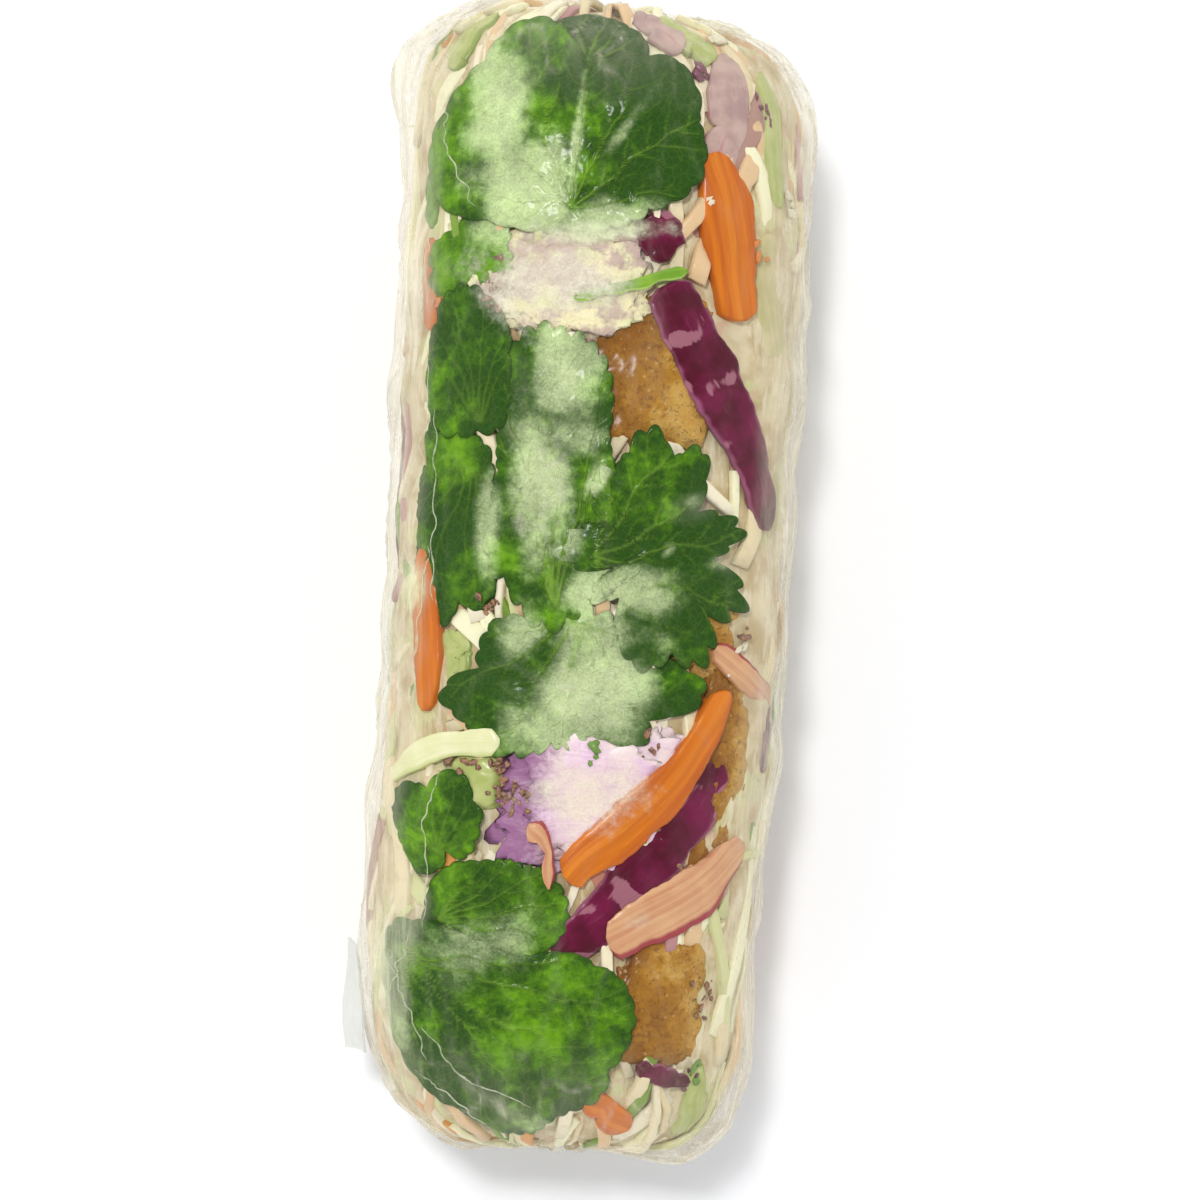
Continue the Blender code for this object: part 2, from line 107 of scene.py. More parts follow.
# %% [markdown]
# ## The skin as a table of distances
#
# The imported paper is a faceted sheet. A ray cast at it from outside tells how far its
# face is from the line; many rays make a table, and blurring the table a little
# removes the facets. Every finer piece is then laid at a depth under this skin.

# %% Measure the skin
def cad_points(node):
    """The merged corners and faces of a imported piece, whose triangles are loose."""
    bm = bmesh.new()
    bm.from_mesh(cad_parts[node].data)
    bmesh.ops.remove_doubles(bm, verts=bm.verts, dist=1e-6)
    points = np.array([vert.co for vert in bm.verts])
    faces = [[vert.index for vert in face.verts] for face in bm.faces]
    bm.free()
    return points, faces


def blur(table, passes):
    """Soften a table that closes round the roll and stops at its two ends."""
    for _ in range(passes):
        table = (np.roll(table, 1, 0) + 2.0 * table + np.roll(table, -1, 0)) / 4.0
        wide = np.pad(table, ((0, 0), (1, 1)), mode="edge")
        table = (wide[:, :-2] + 2.0 * table + wide[:, 2:]) / 4.0
    return table


GIRTH_STEPS = 180
LENGTH_STEPS = 240
ring = np.arange(GIRTH_STEPS) / GIRTH_STEPS * TURN
run = np.linspace(-LONGEST, LONGEST, LENGTH_STEPS)
paper_points, paper_faces = cad_points("rice_paper")
paper_tree = BVHTree.FromPolygons([Vector(p) for p in paper_points], paper_faces)
starts, ways = rays(*[grid.ravel() for grid in np.meshgrid(ring, run, indexing="ij")])
# Rays start FAR out from the line, in metres, and run inwards.
FAR = 0.12
skin_table = np.full(len(starts), WIDTH / 3)
for index, (start, way) in enumerate(zip(starts, ways)):
    hit, _, _, distance = paper_tree.ray_cast(Vector(start + way * FAR), Vector(-way), FAR)
    if hit is not None:
        skin_table[index] = FAR - distance
skin_table = skin_table.reshape(GIRTH_STEPS, LENGTH_STEPS)
skin_table[:, 0] = skin_table[:, 2].mean()
skin_table[:, -1] = skin_table[:, -3].mean()
skin_table = blur(skin_table, 5)


def bump(around, along, turn_part, along_part, half_around, half_along, out):
    """A soft swelling at a part of a turn and of the length; sizes and height in mm."""
    a = (around - turn_part * TURN + TURN / 2) % TURN - TURN / 2
    reach = np.hypot(a / half_around, (along - along_part * LONGEST) / half_along) / MM
    return out * MM * np.exp(-reach ** 2)


# One corner of the filling is slack, and the opposite one is a little fuller.
table_around, table_along = np.meshgrid(ring, run, indexing="ij")
skin_table += bump(table_around, table_along, 0.20, 0.86, 9.0, 6.0, -4.6)
skin_table += bump(table_around, table_along, -0.21, 0.74, 7.0, 5.0, 0.8)
print(f"skin is {skin_table.min() / MM:.1f} to {skin_table.max() / MM:.1f} mm from the line")


def look_up(table, around, along):
    """Read a table of the roll between its steps."""
    a = (around / TURN * GIRTH_STEPS) % GIRTH_STEPS
    b = np.clip((along + LONGEST) / (2.0 * LONGEST) * (LENGTH_STEPS - 1), 0, LENGTH_STEPS - 1.001)
    a0, b0 = a.astype(int) % GIRTH_STEPS, b.astype(int)
    a1, b1 = (a0 + 1) % GIRTH_STEPS, b0 + 1
    fa, fb = a - np.floor(a), b - b0
    return ((table[a0, b0] * (1 - fa) + table[a1, b0] * fa) * (1 - fb)
            + (table[a0, b1] * (1 - fa) + table[a1, b1] * fa) * fb)


def lay(around, along, depth):
    """Points in space for places on the roll at a depth under the skin."""
    around, along, depth = np.broadcast_arrays(*[np.asarray(v, float) for v in (around, along, depth)])
    start, way = rays(around, along)
    return start + way * (look_up(skin_table, around, along) - depth)[..., None]


# %% [markdown]
# ## Shader maths as plain expressions
#
# A procedural finish is mostly arithmetic on patterns. Wrapping a node's output in a
# small class lets that arithmetic read like Python: `1 - mask * 0.5` adds the Math
# nodes for it.

# %% A socket that can be added and multiplied
class Pattern:
    def __init__(self, finish, socket):
        self.finish = finish
        self.socket = socket

    def math(self, operation, left, right=0.0):
        node = self.finish.node("ShaderNodeMath", {"operation": operation}, {0: left, 1: right})
        return Pattern(self.finish, node.outputs[0])

    def __add__(self, other):
        return self.math("ADD", self, other)

    __radd__ = __add__

    def __sub__(self, other):
        return self.math("SUBTRACT", self, other)

    def __rsub__(self, other):
        return self.math("SUBTRACT", other, self)

    def __mul__(self, other):
        return self.math("MULTIPLY", self, other)

    __rmul__ = __mul__

    def positive(self):
        return self.math("ABSOLUTE", self)

    def most(self, other):
        return self.math("MAXIMUM", self, other)

    def least(self, other):
        return self.math("MINIMUM", self, other)

    def step(self, low, high):
        """0 below low, 1 above high, smooth between; low may be the larger."""
        node = self.finish.node(
            "ShaderNodeMapRange", {"interpolation_type": "SMOOTHSTEP"},
            {"Value": self, "From Min": low, "From Max": high, "To Min": 0.0, "To Max": 1.0})
        return Pattern(self.finish, node.outputs["Result"])


# %% A finish: one material and the nodes it is made of
class Finish:
    def __init__(self, name):
        self.material = bpy.data.materials.new(name)
        self.material.use_nodes = True
        self.tree = self.material.node_tree
        self.surface = self.tree.nodes["Principled BSDF"]
        self.place = Pattern(self, self.node("ShaderNodeTexCoord").outputs["Object"])

    def node(self, kind, settings=None, inputs=None):
        """Add a node: its settings first, then a value or a link for each socket."""
        made = self.tree.nodes.new(kind)
        for key, value in (settings or {}).items():
            setattr(made, key, value)
        for key, value in (inputs or {}).items():
            self.join(made.inputs[key], value)
        return made

    def join(self, socket, value):
        if isinstance(value, Pattern):
            self.tree.links.new(value.socket, socket)
        elif isinstance(value, tuple) and len(value) == 3 and len(socket.default_value) == 4:
            socket.default_value = (*value, 1.0)
        else:
            socket.default_value = value

    def attribute(self, name):
        node = self.node("ShaderNodeAttribute", {"attribute_name": name})
        return Pattern(self, node.outputs["Fac"])

    def stretched(self, scale, source=None):
        """Coordinates squeezed by a different number along each axis."""
        node = self.node("ShaderNodeMapping", {}, {"Vector": source or self.place, "Scale": scale})
        return Pattern(self, node.outputs["Vector"])

    def uv(self):
        return Pattern(self, self.node("ShaderNodeUVMap", {"uv_map": "lie"}).outputs["UV"])

    def noise(self, size, detail=3.0, roughness=0.55, source=None, distortion=0.0):
        """Noise whose blobs are about `size` metres, or 1 / size units of the source."""
        node = self.node("ShaderNodeTexNoise", {}, {
            "Vector": source or self.place, "Scale": 1.0 / size, "Detail": detail,
            "Roughness": roughness, "Distortion": distortion})
        return Pattern(self, node.outputs[0])

    def cells(self, size, feature="F1"):
        node = self.node("ShaderNodeTexVoronoi", {"feature": feature},
                         {"Vector": self.place, "Scale": 1.0 / size})
        return Pattern(self, node.outputs["Distance"])

    def mix(self, share, first, second):
        """Colours mixed by a share, 0 for the first and 1 for the second."""
        node = self.node("ShaderNodeMix", {"data_type": "RGBA"}, {0: share, 6: first, 7: second})
        return Pattern(self, node.outputs[2])

    def done(self, colour, roughness, relief=None, lift=0.0001, alpha=None, **constants):
        """Wire the surface up; relief is a pattern whose full swing lifts by `lift`."""
        self.join(self.surface.inputs["Base Color"], colour)
        self.join(self.surface.inputs["Roughness"], roughness)
        if alpha is not None:
            self.join(self.surface.inputs["Alpha"], alpha)
        if relief is not None:
            made = self.node("ShaderNodeBump", {}, {"Height": relief, "Distance": lift, "Strength": 1.0})
            self.tree.links.new(made.outputs["Normal"], self.surface.inputs["Normal"])
        for key, value in constants.items():
            self.surface.inputs[key.replace("_", " ")].default_value = value
        return self.material


# %% [markdown]
# ## From a bmesh to a piece of the roll
#
# Each new piece starts flat or boxy, where it is easy to shape, and is then laid on
# the roll. A finished piece keeps its object at the origin, so that its pattern stays
# put, and the imported pieces that it stands for are hidden.

# %% Turn a bmesh into a piece
pieces = []


def add_piece(name, bm, material, replaces, thickness=0.0, attributes=None):
    mesh = bpy.data.meshes.new(name)
    bm.to_mesh(mesh)
    bm.free()
    for key, values in (attributes or {}).items():
        layer = mesh.attributes.new(key, "FLOAT", "POINT")
        layer.data.foreach_set("value", np.asarray(values, np.float32))
    mesh.shade_smooth()
    mesh.materials.append(material)
    piece = bpy.data.objects.new(name, mesh)
    bpy.context.scene.collection.objects.link(piece)
    if thickness:
        wall = piece.modifiers.new("thickness", "SOLIDIFY")
        wall.thickness = thickness
        wall.offset = -1.0
    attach(piece, "root")
    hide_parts(*replaces)
    pieces.append(piece)
    return piece


def move_points(bm, points):
    """Move every corner of a bmesh to its row of an array."""
    for vert, point in zip(bm.verts, points):
        vert.co = point


def corners(bm):
    return np.array([vert.co for vert in bm.verts])


def join_in(bm, made):
    """Add a finished bmesh to another one, and free it."""
    spare = bpy.data.meshes.new("spare")
    made.to_mesh(spare)
    made.free()
    bm.from_mesh(spare)
    bpy.data.meshes.remove(spare)


# %% [markdown]
# ## Herb leaves
#
# The leaves are flat parsley: broad, lobed, with a toothed edge and veins that fan out
# from the stem. A leaf could be a cut-out with a picture on it, but its relief is what
# catches the light under the paper, so it is modelled. A square grid is drawn into a
# disc, which leaves no pinched middle, the disc is drawn out to the lobes and teeth,
# and the veins are pressed in while the leaf is still flat.

# %% Shape of a leaf
def unwrapped(node):
    """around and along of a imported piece's corners, without a jump under the roll."""
    points, _ = cad_points(node)
    around, along, reach = find(points)
    mean = math.atan2(np.sin(around / ROUND).mean(), np.cos(around / ROUND).mean()) * ROUND
    around = mean + (around - mean + TURN / 2) % TURN - TURN / 2
    return around, along, look_up(skin_table, around, along) - reach


def grid_disc(bm, cells):
    """Polar place of every corner of a square grid that is drawn into a disc."""
    bmesh.ops.create_grid(bm, x_segments=cells, y_segments=cells, size=1.0)
    flat = corners(bm)[:, :2]
    x, y = flat[:, 0], flat[:, 1]
    wide = np.abs(x) >= np.abs(y)
    out = np.where(wide, x, y)
    safe = np.where(np.abs(out) < 1e-9, 1.0, out)
    angle = np.where(wide, math.pi / 4 * y / safe, math.pi / 2 - math.pi / 4 * x / safe)
    angle = np.where(out < 0, angle + math.pi, angle)
    return np.abs(out), angle


def leaf_reach(angle, reaches):
    """Reach of the blade between reaches at even angles from +X round, by a smooth curve."""
    reaches = np.asarray(reaches, float)
    here = angle / (2.0 * math.pi) % 1.0 * len(reaches)
    step = here.astype(int)
    t = here - step
    a, b, c, d = (reaches[(step + k) % len(reaches)] for k in (-1, 0, 1, 2))
    return 0.5 * (2 * b + (c - a) * t + (2 * a - 5 * b + 4 * c - d) * t * t
                  + (3 * b - a - 3 * c + d) * t ** 3)


def notched(angle, count, deep, sharp, seed):
    """Round lobes with sharp notches between them, uneven in breadth and depth."""
    uneven = angle + 0.5 / count * (np.sin(3 * angle + seed) + np.sin(5 * angle + 2.3 * seed))
    bay = 1.0 - np.abs(np.cos(uneven * count / 2.0 + seed)) ** sharp
    return 1.0 - deep * (0.7 + 0.3 * np.sin(2 * angle + 1.7 * seed)) * bay


def rumple(flat, fineness, seed):
    """Noise over flat places, with about `fineness` swells to the metre."""
    return np.array([noise.noise(Vector((x * fineness, y * fineness, seed))) for x, y in flat])


# The main veins fan out from the stem, at these angles in degrees from straight on.
VEIN_FAN = (-118, -78, -38, 0, 36, 74, 112)
SIDE_VEINS_APART = 3.1 * MM


def vein_pattern(flat, base, tips, seed):
    """How close each point is to a main vein, and to one of its side veins, 0 to 1."""
    bend = np.stack([rumple(flat, 190, seed), rumple(flat, 190, seed + 40.0)], -1)
    fray = rumple(flat, 620, seed + 9.0)
    flat = flat + 1.5 * MM * bend + 0.25 * MM * fray[:, None]
    best = np.full(len(flat), 9.0)
    main = np.zeros(len(flat))
    side = np.zeros(len(flat))
    for tip in tips:
        way = tip - base
        long = np.linalg.norm(way)
        way = way / long
        rel = flat - base
        on = rel @ way
        across = rel @ np.array([-way[1], way[0]])
        part = np.clip(on / long, 0.0, 1.0)
        away = np.hypot(across, np.minimum(on, 0.0) + np.maximum(on - long, 0.0))
        width = (0.20 - 0.11 * part) * MM
        main = np.maximum(main, np.exp(-(away / width) ** 2) * (1.0 - 0.55 * part))
        branch = ((on - 1.1 * np.abs(across)) / SIDE_VEINS_APART + 0.45 * (across > 0)) % 1.0
        near = np.exp(-(np.minimum(branch, 1.0 - branch) * 2.1 * MM / (0.11 * MM)) ** 2)
        near = near * (on > 0) * (on < long) * np.clip(1.0 - np.abs(across) / (0.40 * long), 0, 1)
        closer = away < best
        side = np.where(closer, near, side)
        best = np.minimum(best, away)
    return main, side


# %% [markdown]
# ## Frost and painted sheen
#
# Where wet paper lies on a leaf with tiny air bubbles between, the leaf looks frosted:
# pale green and grainy. These patches are partly that and partly painted sheen, the
# soft lamp's broad highlight along the top of the roll. Frost and sheen could be painted
# on the paper over it, but they follow the leaf's outline and veins, so they are part of
# the leaf's own colour. Each corner of a leaf keeps a number for them, worked out from
# soft patches listed below.

# %% Places on the roll, and frosted patches
spreads = {node: unwrapped(node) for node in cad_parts}


def spot_on(node, part_around, part_along):
    """A place given as parts of a piece's spread round and along the roll."""
    around, along, _ = spreads[node]
    return (around.min() + part_around * (around.max() - around.min()),
            along.min() + part_along * (along.max() - along.min()))


def patch(around, along, ragged, node, part_around, part_along, half_around, half_along, tilt, strength):
    """A soft-edged patch, given by the piece that it lies over; sizes in mm."""
    a0, l0 = spot_on(node, part_around, part_along)
    a = (around - a0 + TURN / 2) % TURN - TURN / 2
    l = along - l0
    c, s = math.cos(math.radians(tilt)), math.sin(math.radians(tilt))
    out = np.hypot((a * c + l * s) / (half_around * MM), (l * c - a * s) / (half_along * MM))
    return strength * np.clip(1.35 - out + 0.5 * ragged, 0.0, 1.0)


# Frost patches on the leaves: partly bubbly wet paper, partly painted sheen where the lamp's highlight
# runs along the roll.
LEAF_FROST_SHEEN = [
    # over which piece, part around, part along, half sizes, tilt, strength
    ("leaf_top", 0.18, 0.76, 2.2, 4.6, 6, 0.9),
    ("leaf_top", 0.27, 0.50, 4.2, 7.5, 12, 1.1),
    ("leaf_top", 0.36, 0.17, 6.0, 7.5, 16, 1.15),
    ("leaf_top", 0.66, 0.05, 7.0, 2.4, 6, 1.0),
    ("leaf_top", 0.54, 0.40, 0.9, 9.0, -4, 0.7),
    ("leaf_top", 0.72, 0.50, 1.0, 5.0, -40, 0.45),
    ("leaf_second_middle", 0.58, 0.84, 4.4, 4.6, 0, 1.7),
    ("leaf_second_middle", 0.42, 0.36, 4.4, 9.0, 10, 0.95),
    ("leaf_second_middle", 0.60, 0.60, 5.0, 3.4, -20, 0.6),
    ("leaf_second_middle", 0.86, 0.42, 1.4, 3.2, -30, 0.9),
    ("leaf_third", 0.20, 0.30, 6.8, 2.8, 10, 1.1),
    ("leaf_third", 0.44, 0.28, 4.0, 2.2, 0, 0.85),
    ("leaf_third", 0.20, 0.10, 6.0, 3.4, 0, 0.7),
    ("leaf_third", 0.66, 0.74, 1.4, 1.0, 20, 0.5),
    ("leaf_third", 0.84, 0.46, 1.6, 0.9, 0, 0.5),
    ("leaf_third", 0.55, 0.52, 1.2, 0.8, 50, 0.45),
    ("leaf_fourth", 0.62, 0.54, 7.4, 7.0, 0, 1.15),
    ("leaf_fourth", 0.46, 0.16, 7.0, 3.4, 0, 0.95),
    ("leaf_fourth", 0.26, 0.92, 3.2, 3.4, 0, 0.8),
    ("leaf_second_low", 0.95, 0.45, 2.0, 7.0, 0, 0.7),
    ("leaf_lower_middle", 0.42, 0.26, 7.0, 3.4, 24, 0.62),
    ("leaf_bottom", 0.40, 0.95, 4.5, 2.2, 0, 0.55),
    ("leaf_bottom", 0.60, 0.12, 6.0, 1.6, -20, 0.5),
    ("leaf_bottom", 0.14, 0.66, 1.4, 7.0, -12, 0.5),
]


# %% The herb finish
def herb_finish():
    """Deep and fresh greens in clouds, pale veins, a darker rim of painted shade, and frost that is partly
    painted sheen; `tone` makes a leaf lighter.
    """
    f = Finish("herb")
    vein, edge = f.attribute("vein"), f.attribute("edge")
    tone, frost_sheen = f.attribute("tone"), f.attribute("frost_sheen")
    broad = f.noise(0.0075, 3.0, 0.6)
    mottle = f.noise(0.0013, 4.0, 0.65)
    grain = f.noise(0.00028, 2.0, 0.7)
    net = f.cells(0.00085, "DISTANCE_TO_EDGE").step(0.09, 0.0)
    light = (broad * 1.5 + mottle * 1.0 + tone - 1.10).step(0.0, 0.60)
    green = f.mix(light, (0.014, 0.064, 0.0005), (0.095, 0.250, 0.0015))
    fresh = (broad * 0.8 + mottle * 0.8 + tone * 0.5).step(0.90, 1.15)
    green = f.mix(fresh * 0.7, green, (0.17, 0.37, 0.006))
    green = f.mix(net * 0.10, green, (0.18, 0.34, 0.02))
    green = f.mix((vein * (broad * 1.4 - 0.15)).least(0.6).most(0.0), green, (0.22, 0.40, 0.04))
    # A darker rim along the leaf's edge is painted shade, the shadow of its teeth.
    green = f.mix(edge.step(0.94, 1.0) * 0.5, green, (0.016, 0.062, 0.001))
    # The pale, grainy frost is partly painted sheen, the lamp's highlight on the leaves.
    sheen_rime = (frost_sheen * 1.2 + (mottle - 0.5) * 0.7 - vein * 0.40 - net * 0.03).step(0.10, 0.88)
    speckle = (broad - 0.5) * 0.6 + (mottle - 0.5) * 0.35 + (grain - 0.5) * 0.55
    sheen_rime = sheen_rime * (0.20 + frost_sheen * 0.28 + speckle + vein * 0.1)
    green = f.mix(sheen_rime.most(0.0), green, (0.86, 0.98, 0.52))
    relief = vein * 0.6 - net * 0.04 + mottle * 0.8 + broad * 0.8
    return f.done(green, 0.36 + mottle * 0.2, relief, 0.00045,
                  Coat_Weight=0.10, Coat_Roughness=0.12, Specular_IOR_Level=0.08)


herb_green = herb_finish()


# %% Lay a leaf on the roll
PUCKER = 0.35
LEAF_THICK = 0.16 * MM
QUIET = 0.45
QUIET_VEINS = ("leaf_second_left", "leaf_second_low", "leaf_lower_left", "leaf_left_shoulder")


def herb_leaf(name, depth, reaches, lobes, teeth, stem, tone, fit, cells, seed):
    """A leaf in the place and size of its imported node.

    `reaches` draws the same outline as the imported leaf, `lobes` and `teeth` are counts
    and depths of its notches, and `stem` is the direction of its stalk in degrees.
    `fit` says how much larger it is drawn, and how far it is moved round and along, in mm.
    """
    around, along, _ = unwrapped(name)
    grow, shift_a, shift_l = fit
    bm = bmesh.new()
    out, angle = grid_disc(bm, cells)

    def outline(theta):
        notches = notched(theta, *lobes, seed) * notched(theta, *teeth, 0.8, 2.0 * seed)
        return leaf_reach(theta, reaches) * notches * MM

    ring = np.linspace(0.0, 2.0 * math.pi, 361)
    plain = leaf_reach(ring, reaches) * MM
    plain_x, plain_y = plain * np.cos(ring), plain * np.sin(ring)
    scale_x = grow * (around.max() - around.min()) / (plain_x.max() - plain_x.min())
    scale_y = grow * (along.max() - along.min()) / (plain_y.max() - plain_y.min())
    middle_a = (around.max() + around.min() - (plain_x.max() + plain_x.min()) * scale_x) / 2 + shift_a * MM
    middle_l = (along.max() + along.min() - (plain_y.max() + plain_y.min()) * scale_y) / 2 + shift_l * MM

    radius = outline(angle) * out
    flat = np.stack([radius * np.cos(angle), radius * np.sin(angle)], -1)

    def on_edge(degrees, part):
        theta = np.array([math.radians(degrees)])
        return part * outline(theta)[0] * np.array([math.cos(theta[0]), math.sin(theta[0])])

    tips = [on_edge(stem + 180.0 + turn, 0.93) for turn in VEIN_FAN]
    main, side = vein_pattern(flat, on_edge(stem, 0.80), tips, seed)
    puff = rumple(flat, 260, seed * 3.1)
    ruffle = rumple(flat, 850, seed * 5.7)
    sink = PUCKER * (0.4 - puff) * (0.4 + 0.6 * out) + 0.09 * ruffle - 0.13 * main - 0.07 * side
    rim = 0.12 * (out > 0.985)
    l = np.clip(middle_l + flat[:, 1] * scale_y, -LONGEST + 2 * MM, LONGEST - 2 * MM)
    move_points(bm, lay(middle_a + flat[:, 0] * scale_x, l, (depth + sink + rim) * MM))
    bmesh.ops.recalc_face_normals(bm, faces=bm.faces)
    left, right = tone
    across = (flat[:, 0] - flat[:, 0].min()) / np.ptp(flat[:, 0])
    places = (middle_a + flat[:, 0] * scale_x, l, rumple(flat, 240, seed * 7.9))
    attributes = {
        "vein": np.clip(main + 0.5 * side, 0, 1) * (QUIET if name in QUIET_VEINS else 1.0),
        "edge": out,
        "tone": left + (right - left) * across + 0.35 * puff,
        # Frost patches, partly painted sheen.
        "frost_sheen": np.maximum.reduce([patch(*places, *row) for row in LEAF_FROST_SHEEN]),
    }
    return add_piece("fine_" + name, bm, herb_green, (name,), LEAF_THICK, attributes)


LEAVES = {
    # node: depth in mm, reach every 30 degrees from +X round to +Y,
    #       (lobes, how deep, bluntness), (teeth, how deep), way to the stem in degrees,
    #       tone at the left and right edge, (growth, move round, move along), cells of the grid
    "leaf_top": (0.35, (16, 15.5, 10, 9.5, 16, 16.5, 19, 19, 14.5, 12.5, 13.5, 15),
                 (5, 0.12, 0.5), (31, 0.04), -94, (0.36, -0.36), (1.04, 0, 0), 110),
    "leaf_behind": (1.0, (6, 5, 4.5, 4.5, 5, 6, 6, 5, 4, 4, 5, 6),
                    (4, 0.06, 0.6), (15, 0.05), -90, (-0.75, -0.75), (1.15, 0, 0), 40),
    "leaf_small_left": (0.9, (2.2, 2.6, 3.2, 3.6, 3.2, 2.6, 2.2, 2.6, 3.2, 3.6, 3.2, 2.6),
                        (3, 0.08, 0.6), (11, 0.05), -90, (0.05, 0.05), (1.1, 0, 0), 30),
    "leaf_left_shoulder": (0.8, (4.5, 5, 5, 4.5, 4.5, 5, 6, 6, 5, 4.5, 5, 4.5),
                           (6, 0.22, 0.7), (19, 0.09), 60, (0.25, 0.15), (1.25, 0, 0), 52),
    "leaf_second_left": (0.45, (5.6, 5.6, 6.4, 7.2, 7, 6.5, 6, 7, 8.5, 8.4, 8.6, 6.2),
                         (5, 0.14, 0.6), (21, 0.07), -70, (0.05, -0.1), (1.20, 0, 0), 68),
    "leaf_second_low": (0.80, (6.5, 6.5, 8.0, 9.5, 9, 6.5, 6, 6.5, 8.5, 10, 9.4, 7.2),
                        (7, 0.26, 0.8), (27, 0.10), 80, (0.0, -0.15), (1.30, 0, 0), 76),
    "leaf_second_middle": (0.62, (6.6, 7.5, 10.5, 12.0, 11, 7.4, 6.4, 8.0, 13, 16.5, 13, 9.0),
                           (6, 0.10, 0.6), (35, 0.08), -85, (0.0, 0.05), (1.28, 0, -2.0), 96),
    "leaf_third": (0.35, (11.5, 11, 11.5, 12.5, 11.5, 9.5, 12.0, 9, 9, 12.5, 13, 13),
                   (9, 0.42, 1.0), (31, 0.16), 190, (-0.05, -0.18), (1.18, -0.8, 0), 96),
    "leaf_fourth": (0.72, (13, 9, 9, 9.5, 9.5, 10, 12, 11.5, 8.5, 6.5, 7, 10),
                    (8, 0.26, 0.9), (29, 0.11), 86, (-0.08, -0.05), (1.32, 0.3, 1.5), 96),
    "leaf_lower_left": (0.4, (5, 5.5, 5.5, 5, 6, 7, 6, 5.5, 5.5, 5, 5, 5),
                        (4, 0.42, 0.9), (17, 0.08), -70, (0.05, 0.0), (1.25, 0, 0), 60),
    "leaf_lower_middle": (0.8, (8.5, 7.5, 6.5, 6, 6.5, 9, 10, 9.5, 8, 7.5, 7, 7),
                          (5, 0.10, 0.6), (29, 0.08), 190, (0.12, 0.12), (1.06, 0, 0), 68),
    "leaf_bottom": (0.35, (15.5, 14.5, 10.5, 8.5, 12.5, 20.5, 17, 15, 13, 14, 12, 14.5),
                    (6, 0.12, 0.6), (37, 0.04), 150, (0.0, 0.12), (1.04, 0, 0), 96),
    "leaf_under_first": (0.6, (11, 12, 12, 13, 12, 11, 10, 9.5, 9, 9, 10, 10),
                         (9, 0.30, 0.9), (33, 0.11), -60, (0.0, 0.0), (1.1, 0, 0), 76),
    "leaf_under_second": (0.6, (12, 11, 12, 12, 11, 10, 10, 10.5, 11, 12, 13, 12),
                          (8, 0.26, 0.9), (33, 0.11), 60, (0.0, 0.0), (1.1, 0, 0), 76),
}
for seed, (node, row) in enumerate(LEAVES.items()):
    herb_leaf(node, *row, seed + 1.0)
print("leaves:", len(LEAVES))

# %% [markdown]
# ## Cut strips
#
# Carrot, red cabbage, onion, celery and cucumber are cut in strips that lie along
# smooth curves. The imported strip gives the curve: its corners are sorted along its
# length and averaged in slices. The new strip is a bevelled bar, cut into many short
# lengths and bent along that curve. A UV map keeps the fibres running along it.

# %% The curve of a packed strip
def strip_line(node, slices=9):
    """Centre line (around, along) and width of a packed strip."""
    around, along, _ = unwrapped(node)
    flat = np.stack([around, along], -1)
    middle = flat.mean(0)
    _, _, directions = np.linalg.svd(flat - middle, full_matrices=False)
    way, across = directions[0], directions[1]
    if way[1] < 0:
        way, across = -way, -across
    run_on, side = (flat - middle) @ way, (flat - middle) @ across
    steps = np.linspace(run_on.min(), run_on.max(), slices)
    reach = (steps[1] - steps[0]) * 0.75
    line, width = [], []
    for step in steps:
        near = np.abs(run_on - step) <= max(reach, np.sort(np.abs(run_on - step))[3] + 1e-9)
        centre = (side[near].max() + side[near].min()) / 2
        line.append(middle + way * step + across * centre)
        width.append(side[near].max() - side[near].min())
    return np.array(line), np.array(width)


def running(bm, axis, least):
    """Edges that run for more than `least` along an axis."""
    return [edge for edge in bm.edges if abs(edge.verts[0].co[axis] - edge.verts[1].co[axis]) > least]


def bar(bm, lengths, bevel=0.30):
    """A bevelled bar from -1 to 1 in x and z and 0 to 1 in y, cut into short lengths."""
    bmesh.ops.create_cube(bm, size=2.0)
    bmesh.ops.bevel(bm, geom=running(bm, 1, 1.0), offset=bevel, segments=3, profile=0.5,
                    affect="EDGES", material=-1)
    bmesh.ops.subdivide_edges(bm, edges=running(bm, 1, 1.0), cuts=lengths - 1, use_grid_fill=True)
    bmesh.ops.scale(bm, vec=(1.0, 0.5, 1.0), verts=bm.verts)
    bmesh.ops.translate(bm, vec=(0.0, 0.5, 0.0), verts=bm.verts)


def smooth_line(values, part):
    """Values of a listed or measured line at parts of its length, without corners."""
    spots = np.linspace(0.0, 1.0, len(values))
    fine = np.linspace(0.0, 1.0, 65)
    tight = np.interp(fine, spots, values)
    for _ in range(24):
        tight[1:-1] = (tight[:-2] + 2.0 * tight[1:-1] + tight[2:]) / 4.0
    return np.interp(part, fine, tight)


def add_uv(bm, coordinates):
    """Store a place along and across the strip for its fibres, in millimetres."""
    layer = bm.loops.layers.uv.new("lie")
    for face in bm.faces:
        for loop in face.loops:
            loop[layer].uv = coordinates[loop.vert.index]


BLUNT = 0.25
ROUGH = 0.12
CUT_EVERY = 0.45 * MM
WAVE_LONG = 5.5 * MM


